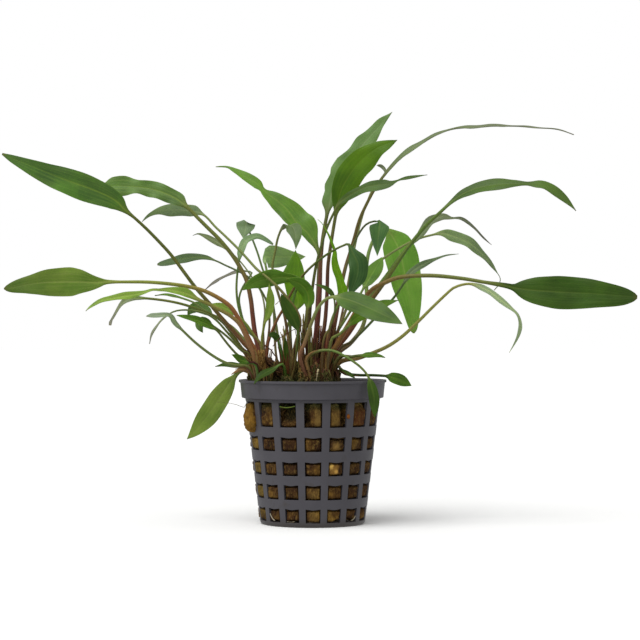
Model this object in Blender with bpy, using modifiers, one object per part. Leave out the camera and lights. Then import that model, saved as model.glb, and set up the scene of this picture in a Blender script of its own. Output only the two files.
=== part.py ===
"""Potted cryptocoryne: an aquarium plant in a grey net pot, rebuilt from one photograph.

Metres, +Z up. The origin is the centre of the pot's underside, and the pot stands on z = 0.
-Y is the side that faces the viewer of the photograph.
Every leaf is one closed solid: a round stalk that flattens into a folded blade.
"""
import math
from dataclasses import dataclass

import bmesh
import bpy
from mathutils import Vector

MM = 0.001

# Net pot, millimetres
POT_HEIGHT = 48.5
COLLAR_BOTTOM_Z = 42.2
COLLAR_STEP = 0.2
LIP_Z = 47.6
LIP_STEP = 0.1
BASE_RADIUS = 17.75
WALL_TOP_RADIUS = 22.8
COLLAR_BOTTOM_RADIUS = 24.05
COLLAR_TOP_RADIUS = 24.5
LIP_RADIUS = 25.0
POT_WALL = 1.0
WINDOW_COLUMNS = 16
WINDOW_ANGLE = 15.5
FRONT_WINDOW_ANGLE = -89.3
WINDOW_ROWS = ((1.4, 6.1), (9.1, 14.1), (17.1, 21.8), (25.2, 30.0), (33.2, 41.4))
FOOT_CHAMFER = 0.5
FLOOR_HUB_RADIUS = 7.0
FLOOR_SLOT_OUTER = 14.5

# Rock wool plug, millimetres
PLUG_GAP = 0.35
PLUG_TOP_Z = 43.2
PLUG_BOTTOM_Z = 1.6
PLUG_CREST = ((15.0, 44.6), (7.0, 45.2))
CREST_WAVE = 0.25
PLUG_LEVELS = (11.5, 21.5)
NECK_MARGIN = 0.4
LUMP_ANGLE = FRONT_WINDOW_ANGLE - 3 * 360.0 / WINDOW_COLUMNS
LUMP_STEPS = ((0.05, 0.90), (2.2, 0.95), (2.9, 0.62))

# The leaves' points were measured in the plane of the pot's axis, seen from this far away and this high
EYE_DISTANCE = 700.0
EYE_X = 2.5
EYE_Z = 68.7

# A leaf's solid, millimetres: its blade is thickest along the midrib and thin at the margins
BLADE_EDGE = 0.26
BLADE_MIDDLE = 0.54
BLADE_SHOULDER = 0.12
PATH_STEPS = 8
DEPTH_EASE = 6.0
DEPTH_SAMPLES = 9

# How many sections a leaf gets: one for this much length and bend, within these numbers
STALK_SPACING = 18.0
BLADE_SPACING = 8.5
BLADE_STATIONS = (4, 8)
BEND_LENGTH = 18.0

# A blade that bends straight towards the viewer and hangs with its width level
HANGING = None


@dataclass
class Leaf:
    """One leaf. Points are (x, z) in millimetres from its base up the stalk, then along the blade to the tip.

    depth is y at even steps along the stalk, from its base to the blade's start, and then at the tip.
    face is the turn of the blade's upper side, 0 to the viewer and 90 to the sky, at its start and tip.
    fold lifts both halves like a keel. edges, where given, are rows of the share of the blade's length
    and half its width on each side. Otherwise width, widest, wedge and taper give an even blade.
    """
    name: str
    crown: str
    colour: str
    depth: tuple
    stalk: tuple
    blade: tuple
    width: float = 0.0
    face: tuple = (40, 40)
    fold: float = 12
    stalk_width: tuple = (1.5, 1.0)
    widest: float = 0.42
    wedge: float = 1.0
    taper: float = 1.3
    flatten: float = 0.18
    edges: tuple = ()


LEFT_LEAVES = (
    Leaf("leaf_left_long_dark", "crown_left", colour="dark",
         depth=(-4.5, -14, -20), face=(10, 14), fold=10, stalk_width=(1.5, 1),
         stalk=((-20.6, 57.4), (-22.6, 59.9), (-25, 62.8), (-28.5, 66.8), (-31.5, 70.2), (-34.5, 73.8),
                (-39.5, 79.5), (-44, 85.5), (-48, 90.8), (-52, 95.2), (-56, 99.3), (-60, 103)),
         blade=((-63.7, 106.1), (-66.1, 108.6), (-69.5, 110.7), (-75.2, 113.1), (-81.1, 115.2),
                (-86.9, 117.4), (-92.7, 119.8), (-97.6, 121.8), (-101.8, 123.5), (-105.2, 125)),
         edges=((0, 0.6, 0.6), (0.076, 1.4, 1.4), (0.161, 3.1, 2.5), (0.299, 4.4, 3.8), (0.434, 4.9, 4.3),
                (0.57, 4.6, 3.9), (0.706, 3.6, 2.8), (0.824, 2.7, 1.9), (0.922, 1.6, 1.2), (1, 0.3, 0.3))),
    Leaf("leaf_left_wavy", "crown_left", colour="green",
         depth=(-1.6, 1, 5), face=(14, 14), fold=8, stalk_width=(1.8, 1.2),
         stalk=((-18.3, 58.6), (-19.1, 62), (-19.8, 66), (-20.4, 71), (-21, 76), (-22.4, 82.2), (-24.3, 86),
                (-27, 90.4), (-31.4, 95.8), (-34.8, 99.2), (-39.2, 103.6), (-41.5, 106)),
         blade=((-43.6, 107.8), (-46.5, 110), (-50, 111.6), (-54, 112.9), (-58, 113.6), (-62, 113.9),
                (-66, 114.1), (-71.7, 113.8)),
         edges=((0, 0.8, 0.8), (0.05, 1.2, 1.4), (0.14, 2.2, 2.5), (0.29, 2.75, 2.6), (0.43, 3, 3),
                (0.59, 2.4, 2.5), (0.76, 3.4, 3.5), (0.87, 3, 3.4), (1, 0, 0))),
    Leaf("leaf_left_big_light", "crown_left", colour="light",
         depth=(-8.6, -28, -40), face=(8, 12), fold=8, stalk_width=(1.8, 1),
         stalk=((-19.4, 57.8), (-20.6, 60.2), (-22.4, 63.8), (-24.3, 67.6), (-26.2, 71), (-28.4, 73.8),
                (-33, 76.8), (-38, 79), (-45, 80.5), (-55, 81.5), (-65, 81.6)),
         blade=((-69.9, 81.6), (-74.4, 81.4), (-79.4, 81.6), (-85.2, 81.6), (-91, 81.4), (-96.8, 80.7),
                (-100.9, 79.8), (-104.6, 79.3)),
         edges=((0, 0.6, 0.6), (0.1, 0.65, 0.65), (0.131, 0.8, 0.8), (0.177, 1.5, 1.4), (0.275, 3, 2.9),
                (0.353, 3.9, 4.1), (0.442, 4.75, 4.8), (0.609, 4.6, 4.3), (0.778, 3.5, 2.8), (0.9, 2, 2.1),
                (0.97, 1.1, 1.1), (1, 0.2, 0.2))),
    Leaf("leaf_left_narrow_light", "crown_left", colour="light",
         depth=(-10.2, -25, -38), face=(30, 30), fold=14, stalk_width=(1.7, 1.1),
         stalk=((-19.8, 56.4), (-21.4, 60), (-23, 64), (-25, 67.6), (-28, 70.2), (-31, 71.9), (-33.5, 73.2),
                (-36.4, 74.6)),
         blade=((-39.3, 75.9), (-42, 77.3), (-45.6, 78.4), (-49.2, 79), (-51.9, 78.9), (-54.4, 78.9),
                (-57.5, 77.95), (-61.1, 77.15), (-64.7, 76.65), (-68.3, 76.05), (-71.9, 75.15),
                (-75.5, 72.95), (-76.9, 71.7)),
         edges=((0, 0.6, 0.6), (0.076, 0.9, 0.9), (0.172, 1.3, 1.8), (0.264, 1.15, 1.3), (0.332, 0.7, 0.6),
                (0.395, 0.3, 0.3), (0.47, 0.6, 0.5), (0.563, 0.9, 1.1), (0.655, 1.35, 1.35),
                (0.748, 1.1, 1.1), (0.842, 0.75, 0.8), (0.949, 0.4, 0.4), (1, 0, 0))),
    Leaf("leaf_left_drooping_tip", "crown_left", colour="green",
         depth=(-0.2, -10, -14), face=(20, 20), fold=16, stalk_width=(1.1, 0.8),
         stalk=((-21.6, 55.6), (-24.3, 59.6), (-27.3, 64), (-30.5, 68), (-34.5, 70.7), (-40, 72.8),
                (-45, 74.3), (-50, 75.3), (-56, 76)),
         blade=((-60.1, 76.1), (-62.8, 75.6), (-64.8, 74.1), (-66.2, 72.1), (-67.3, 70.1), (-68.3, 68.3),
                (-68.6, 66.9)),
         edges=((0, 0.45, 0.45), (0.204, 0.6, 0.6), (0.39, 1.1, 1.1), (0.572, 0.7, 0.7),
                (0.742, 0.45, 0.45), (0.896, 0.35, 0.35), (0.95, 0.55, 0.55), (1, 0.45, 0.45))),
    Leaf("leaf_left_thin_dark", "crown_left", colour="green",
         depth=(1.6, 3, 7), width=1.4, face=(62, 66), fold=16, stalk_width=(1, 0.7), widest=0.42, wedge=1,
         stalk=((-21.4, 58.8), (-23.8, 61.9), (-27.8, 66.6), (-31.3, 69.3), (-35, 70.9), (-37.5, 72.6),
                (-40.4, 74.7)),
         blade=((-43.5, 75.9), (-47, 76.8), (-50.5, 77.3), (-53.5, 77))),
    Leaf("leaf_left_stub", "crown_left", colour="green",
         depth=(2.9, 12, 22), width=4.2, face=(25, 20), fold=8, stalk_width=(1, 0.8), widest=0.45,
         wedge=0.8,
         stalk=((-20.9, 59.6), (-23.6, 62.6), (-26.8, 66), (-30.6, 68.5), (-33.6, 69.9)),
         blade=((-36.5, 72), (-39, 73.1), (-41, 72.3), (-42.4, 70.2))),
    Leaf("leaf_left_grey", "crown_left", colour="grey",
         depth=(-9.5, -22, -34), face=(20, 20), fold=14, stalk_width=(1.1, 0.8),
         stalk=((-21.6, 52.6), (-25.5, 53.2), (-29.2, 54.1), (-32.2, 55.6), (-36, 58.1), (-40, 61.3),
                (-44, 65.1)),
         blade=((-46.5, 67.8), (-47.6, 69.6), (-48.8, 70.3), (-50.8, 70.4), (-52.8, 70.3), (-54.6, 70.2),
                (-56.3, 70)),
         edges=((0, 0.5, 0.5), (0.21, 0.9, 0.6), (0.326, 1, 0.7), (0.512, 0.5, 0.75), (0.698, 0.9, 0.85),
                (0.864, 0.75, 0.8), (1, 0.15, 0.15))),
    Leaf("leaf_left_hook", "crown_left", colour="grey",
         depth=(-3.2, -16, -24), width=1, face=(50, 40), fold=16, stalk_width=(1, 0.55), widest=0.42,
         wedge=1,
         stalk=((-22.2, 56.9), (-25.4, 60.6), (-29, 64.6), (-32.4, 68.4), (-36, 70.8), (-40, 71.8),
                (-44, 72.1), (-47.4, 71.4)),
         blade=((-50.6, 69.2), (-52.8, 66.7), (-54.4, 64), (-55.3, 60.6))),
    Leaf("leaf_left_low_dark", "crown_left", colour="dark",
         depth=(-7.2, -16, -30), width=3.4, face=(48, 52), fold=14, stalk_width=(0.9, 0.7), widest=0.4,
         wedge=0.7,
         stalk=((-21.9, 54.9), (-25.3, 56.8), (-28, 59.6), (-30.4, 62.6), (-32.3, 65)),
         blade=((-35.5, 67), (-39, 68.4), (-42.5, 69.5), (-46, 70.3))),
    Leaf("leaf_left_low_hanging", "crown_left", colour="dark",
         depth=(-5.6, -12.5, -22), width=3.2, face=(20, 10), fold=8, stalk_width=(0.9, 0.7), widest=0.45,
         wedge=0.8,
         stalk=((-21.4, 56.6), (-23.8, 58.1), (-26, 60.2), (-28.2, 62.4), (-30.8, 64.6), (-33.6, 66.6)),
         blade=((-36, 68), (-37.8, 68.2), (-38.2, 66.6), (-37.2, 64.4))),
    Leaf("leaf_left_inner_bright", "crown_left", colour="light",
         depth=(-4.2, -9, -13), width=3, face=(48, 40), fold=12, stalk_width=(1.1, 0.8), widest=0.42,
         wedge=0.9,
         stalk=((-17.4, 59.3), (-20, 63.6), (-22.4, 67.2), (-25.2, 69.9)),
         blade=((-27.4, 71.4), (-29.4, 72.5), (-31.5, 73.4), (-34.4, 74.2))),
    Leaf("leaf_left_over_rim", "crown_left", colour="light",
         depth=(-1, 3.5, 10), width=7.6, face=(14, 18), fold=8, stalk_width=(1.7, 1.4), widest=0.5,
         wedge=0.8,
         stalk=((-21.2, 51.3), (-23.2, 51.9), (-25.2, 50.9)),
         blade=((-28.4, 46.9), (-32, 41.4), (-36, 35.6), (-40, 30.9), (-42.6, 28.3))),
    Leaf("leaf_left_rim_dark", "crown_left", colour="dark",
         depth=(0.9, 0.6, -6), width=2.8, face=(55, 58), fold=12, stalk_width=(1.2, 1), widest=0.4,
         wedge=0.7,
         stalk=((-20.7, 53.2), (-22.6, 53.4)),
         blade=((-25, 53.3), (-27.6, 53.4), (-30.2, 53.3), (-33, 53))),
    Leaf("leaf_left_rim_short", "crown_left", colour="dark",
         depth=(-13.4, -16, -22), width=2.6, face=(40, 36), fold=12, stalk_width=(1.1, 0.9), widest=0.4,
         wedge=0.7,
         stalk=((-19.2, 53.4), (-21.6, 54.2)),
         blade=((-23.8, 54.9), (-25.4, 55.8), (-27.4, 57))),
    Leaf("leaf_left_arched_grey", "crown_left", colour="grey",
         depth=(5.2, 17, 30), width=2.4, face=(66, 66), fold=16, stalk_width=(0.9, 0.65), widest=0.42,
         wedge=1,
         stalk=((-19.2, 61), (-21.4, 64.4), (-23.3, 68), (-24.4, 72), (-24.9, 76), (-23.8, 79.6),
                (-21.6, 83), (-20.6, 84.7)),
         blade=((-22.6, 85.3), (-26, 84.8), (-30, 83.3), (-34, 80.9), (-36.8, 78.7))),
    Leaf("leaf_left_folded_tall", "crown_left", colour="grey",
         depth=(0.2, 4, 8), face=(20, 20), fold=10, stalk_width=(1, 0.7),
         stalk=((-18.9, 61.3), (-21.4, 65), (-24, 69.6), (-25.3, 74), (-25.8, 79), (-25.6, 83.5),
                (-25, 88.4)),
         blade=((-24, 92.6), (-22.8, 95.4), (-20.9, 96.5), (-18.6, 97.1), (-16, 96), (-13.4, 94.3)),
         edges=((0, 0.5, 0.5), (0.15, 1.3, 1), (0.32, 1.5, 1.3), (0.5, 1.2, 1), (0.72, 1, 0.9),
                (0.9, 0.7, 0.7), (1, 0.3, 0.3))),
    Leaf("leaf_left_thread", "crown_left", colour="grey",
         depth=(3.6, 26, 34), face=(30, 30), fold=14, stalk_width=(0.8, 0.45),
         stalk=((-16.6, 60.4), (-16.7, 66), (-16.2, 72), (-17.4, 78), (-20.2, 82.6), (-22.5, 86),
                (-24.6, 88.6), (-27, 91), (-29.5, 92.7)),
         blade=((-31.8, 94.5), (-34.5, 96.1), (-37.2, 97.4), (-39, 97.9), (-40.6, 97.3)),
         edges=((0, 0.4, 0.4), (0.25, 1.2, 1.2), (0.5, 1, 1), (0.75, 0.55, 0.55), (1, 0, 0))),
    Leaf("leaf_left_dark_arrow", "crown_left", colour="green",
         depth=(1.6, 14, 18), face=(34, 36), fold=14, stalk_width=(0.9, 0.6),
         stalk=((-15.6, 59.4), (-15, 63), (-14.6, 68), (-15.2, 74), (-18.2, 79.8), (-22, 83.4), (-26, 85.6),
                (-29.5, 87.2), (-32.4, 88.6)),
         blade=((-36, 89.75), (-40, 89.95), (-44, 89.35), (-48.2, 88.35), (-52.6, 87.5)),
         edges=((0, 0.4, 0.4), (0.15, 0.8, 0.8), (0.35, 1.5, 1.5), (0.55, 1.9, 1.8), (0.8, 1.6, 1.5),
                (0.95, 0.9, 0.9), (1, 0.3, 0.3))),
    Leaf("leaf_left_upright", "crown_left", colour="light",
         depth=(-6, -11, -17), width=3, face=(20, 30), fold=10, stalk_width=(1, 0.8), widest=0.45,
         wedge=0.9,
         stalk=((-17.2, 61.2), (-16.9, 64), (-16.3, 67.4)),
         blade=((-15, 70.6), (-14.3, 74), (-14.3, 77.4), (-14.8, 81))),
)

MIDDLE_LEAVES = (
    Leaf("leaf_middle_hanging_triangle", "crown_middle", colour="grey",
         depth=(3.4, 24, 18), face=HANGING, fold=6, stalk_width=(0.9, 0.65), flatten=0.05,
         stalk=((-11.3, 51.4), (-12.4, 57), (-12.9, 64), (-13.2, 72), (-14.3, 79), (-16.8, 85.5),
                (-18.5, 91), (-20.2, 95.6), (-21.6, 99.2), (-22.3, 101.5)),
         blade=((-22.5, 102.1), (-22.6, 101.4), (-22.9, 99.4), (-23.5, 96.3)),
         edges=((0, 0.5, 0.5), (0.06, 0.6, 0.6), (0.16, 3.3, 3.4), (0.3, 3.2, 3.3), (0.6, 1.9, 2.1),
                (0.85, 0.7, 0.8), (1, 0, 0))),
    Leaf("leaf_middle_long_green", "crown_middle", colour="grey",
         depth=(-6.6, -12, 4, 14), face=(36, 40), fold=8, stalk_width=(1.1, 0.75),
         stalk=((-7.4, 53), (-6, 60), (-4.2, 67), (-5.2, 71.5), (-8.6, 76.1), (-11, 79), (-14, 81.9),
                (-17, 84.4), (-19, 86), (-22, 89.3), (-25, 92.6), (-30, 97.5), (-33, 100.3), (-36, 103.6)),
         blade=((-38.4, 105), (-41, 105.5), (-44, 105.8), (-47.2, 105.9), (-51.7, 105.7), (-55.3, 104.3),
                (-57.8, 102)),
         edges=((0, 0.45, 0.45), (0.12, 1.4, 1.4), (0.23, 2.5, 2.6), (0.49, 2.8, 2.8), (0.69, 1.8, 1.8),
                (0.86, 0.75, 0.75), (1, 0, 0))),
    Leaf("leaf_middle_broad", "crown_middle", colour="grey",
         depth=(4.2, 22, 34), face=(10, 10), fold=6, stalk_width=(1, 0.8), flatten=0.02,
         stalk=((-9.9, 52.6), (-11, 58), (-12.2, 66), (-13.6, 75), (-15.2, 83.5), (-16, 87.6)),
         blade=((-16.4, 89.4), (-16.1, 90), (-15.3, 90.15), (-12, 90.2), (-8, 90.2), (-2.4, 90.2)),
         edges=((0, 0.5, 0.5), (0.15, 0.6, 0.6), (0.2, 3.9, 3.9), (0.3, 4, 4), (0.41, 3.7, 3.9),
                (0.65, 2.3, 2.9), (0.88, 0.9, 1.3), (1, 0, 0))),
    Leaf("leaf_middle_olive", "crown_middle", colour="bright",
         depth=(0.6, 2, 6), face=(12, 14), fold=8, stalk_width=(1.1, 0.9),
         stalk=((-8.9, 53.3), (-9.6, 58), (-9.6, 63), (-8, 68), (-6, 71.4)),
         blade=((-4.9, 74.5), (-5.5, 78.7), (-6, 82.8), (-6, 87), (-5.8, 92.4)),
         edges=((0, 0.6, 0.6), (0.12, 2, 2), (0.235, 3.2, 3.1), (0.47, 3.8, 3.6), (0.63, 4.2, 3.3),
                (0.68, 3.7, 3.1), (0.82, 2.1, 2.1), (1, 0, 0))),
    Leaf("leaf_middle_hanging_grey", "crown_middle", colour="grey",
         depth=(-2.2, 1, -10), face=HANGING, fold=8, stalk_width=(1.1, 0.75),
         stalk=((-7.7, 52.8), (-7.9, 58), (-8.5, 64), (-9.6, 70.5), (-11.3, 76.5), (-13, 82), (-13.6, 87),
                (-12.7, 92), (-11.9, 96), (-11, 98.6)),
         blade=((-10.2, 99.8), (-8.6, 100.7), (-6.9, 100.3), (-6.1, 98.5), (-5.8, 96), (-5.7, 92.6)),
         edges=((0, 0.4, 0.4), (0.15, 1, 1), (0.3, 1.9, 2.2), (0.42, 2.6, 2.6), (0.6, 2.2, 1.8),
                (0.8, 1.2, 0.7), (1, 0, 0))),
    Leaf("leaf_middle_forward", "crown_left", colour="blue",
         depth=(-8.6, -4.4, -4.2, -15.5, -21), face=(8, 8), fold=8, stalk_width=(1.1, 0.7),
         stalk=((-15.4, 59), (-14.6, 62.6), (-13.3, 66), (-11.6, 69.6), (-9.6, 73), (-7.9, 76.6),
                (-5.9, 80), (-3.6, 83.4), (-0.6, 86.6), (3.8, 90.2), (7.6, 92.6), (10.6, 94)),
         blade=((12.2, 94.3), (13.6, 91.5), (15.2, 88), (15.1, 84), (13.7, 80), (12.3, 76.4)),
         edges=((0, 0.5, 0.5), (0.08, 0.5, 0.5), (0.235, 1.7, 1.4), (0.42, 3.4, 3), (0.61, 3.3, 2.8),
                (0.815, 1.7, 1.7), (1, 0, 0))),
    Leaf("leaf_middle_dark_spread", "crown_middle", colour="green",
         depth=(-5.6, -7, -8), face=(20, 22), fold=8, stalk_width=(1.1, 0.8),
         stalk=((-7, 52.2), (-7.3, 59), (-7.6, 66), (-7, 73), (-5.6, 79), (-4.4, 81.8)),
         blade=((-4.9, 82.8), (-9.8, 83.2), (-14, 82.8), (-18.1, 82), (-21, 80.7), (-23.7, 78.8)),
         edges=((0, 0.6, 0.6), (0.12, 1.2, 1), (0.254, 1.9, 1.5), (0.465, 2.6, 3.2), (0.58, 2.8, 3.1),
                (0.681, 2.8, 2.7), (0.84, 1.6, 1.8), (1, 0.1, 0.1))),
    Leaf("leaf_middle_small_dark", "crown_middle", colour="dark",
         depth=(-7.1, -9.2, -12), width=1.6, face=(20, 30), fold=10, stalk_width=(0.9, 0.8), widest=0.45,
         wedge=0.9,
         stalk=((-8.4, 51.9), (-8.6, 54.6)),
         blade=((-8.9, 57), (-9.2, 60), (-9.3, 63.3))),
    Leaf("leaf_middle_foreshortened", "crown_middle", colour="dark",
         depth=(-5, -7.4, -8.2), face=(14, 14), fold=8, stalk_width=(1, 0.8),
         stalk=((-10.2, 51.6), (-10.4, 55.6), (-10.9, 59), (-11.6, 61.4)),
         blade=((-12, 62.4), (-12.7, 63.3), (-13.7, 63.6), (-14.9, 63.2)),
         edges=((0, 0.4, 0.4), (0.3, 1.1, 1.1), (0.6, 1.2, 1.1), (0.85, 0.7, 0.8), (1, 0, 0))),
    Leaf("leaf_middle_leaning_dark", "crown_middle", colour="dark",
         depth=(-7.6, -13.4, -16), width=4.2, face=(14, 14), fold=10, stalk_width=(0.9, 0.7), widest=0.5,
         wedge=0.8,
         stalk=((-6.2, 52.6), (-5.6, 57), (-5.2, 61), (-5, 64.4)),
         blade=((-5.4, 66.6), (-6.6, 69.2), (-8.2, 72), (-9.6, 74.8), (-10.6, 77.6))),
    Leaf("leaf_middle_over_rim", "crown_middle", colour="dark",
         depth=(-7.2, -12, -19.4), width=3, face=(52, 40), fold=12, stalk_width=(1.1, 0.9), widest=0.42,
         wedge=0.8,
         stalk=((-9.4, 51.1), (-10, 53.6), (-11.4, 53.3)),
         blade=((-13.5, 52), (-16, 50.7), (-18, 49.2), (-19.9, 46.9))),
)

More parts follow.
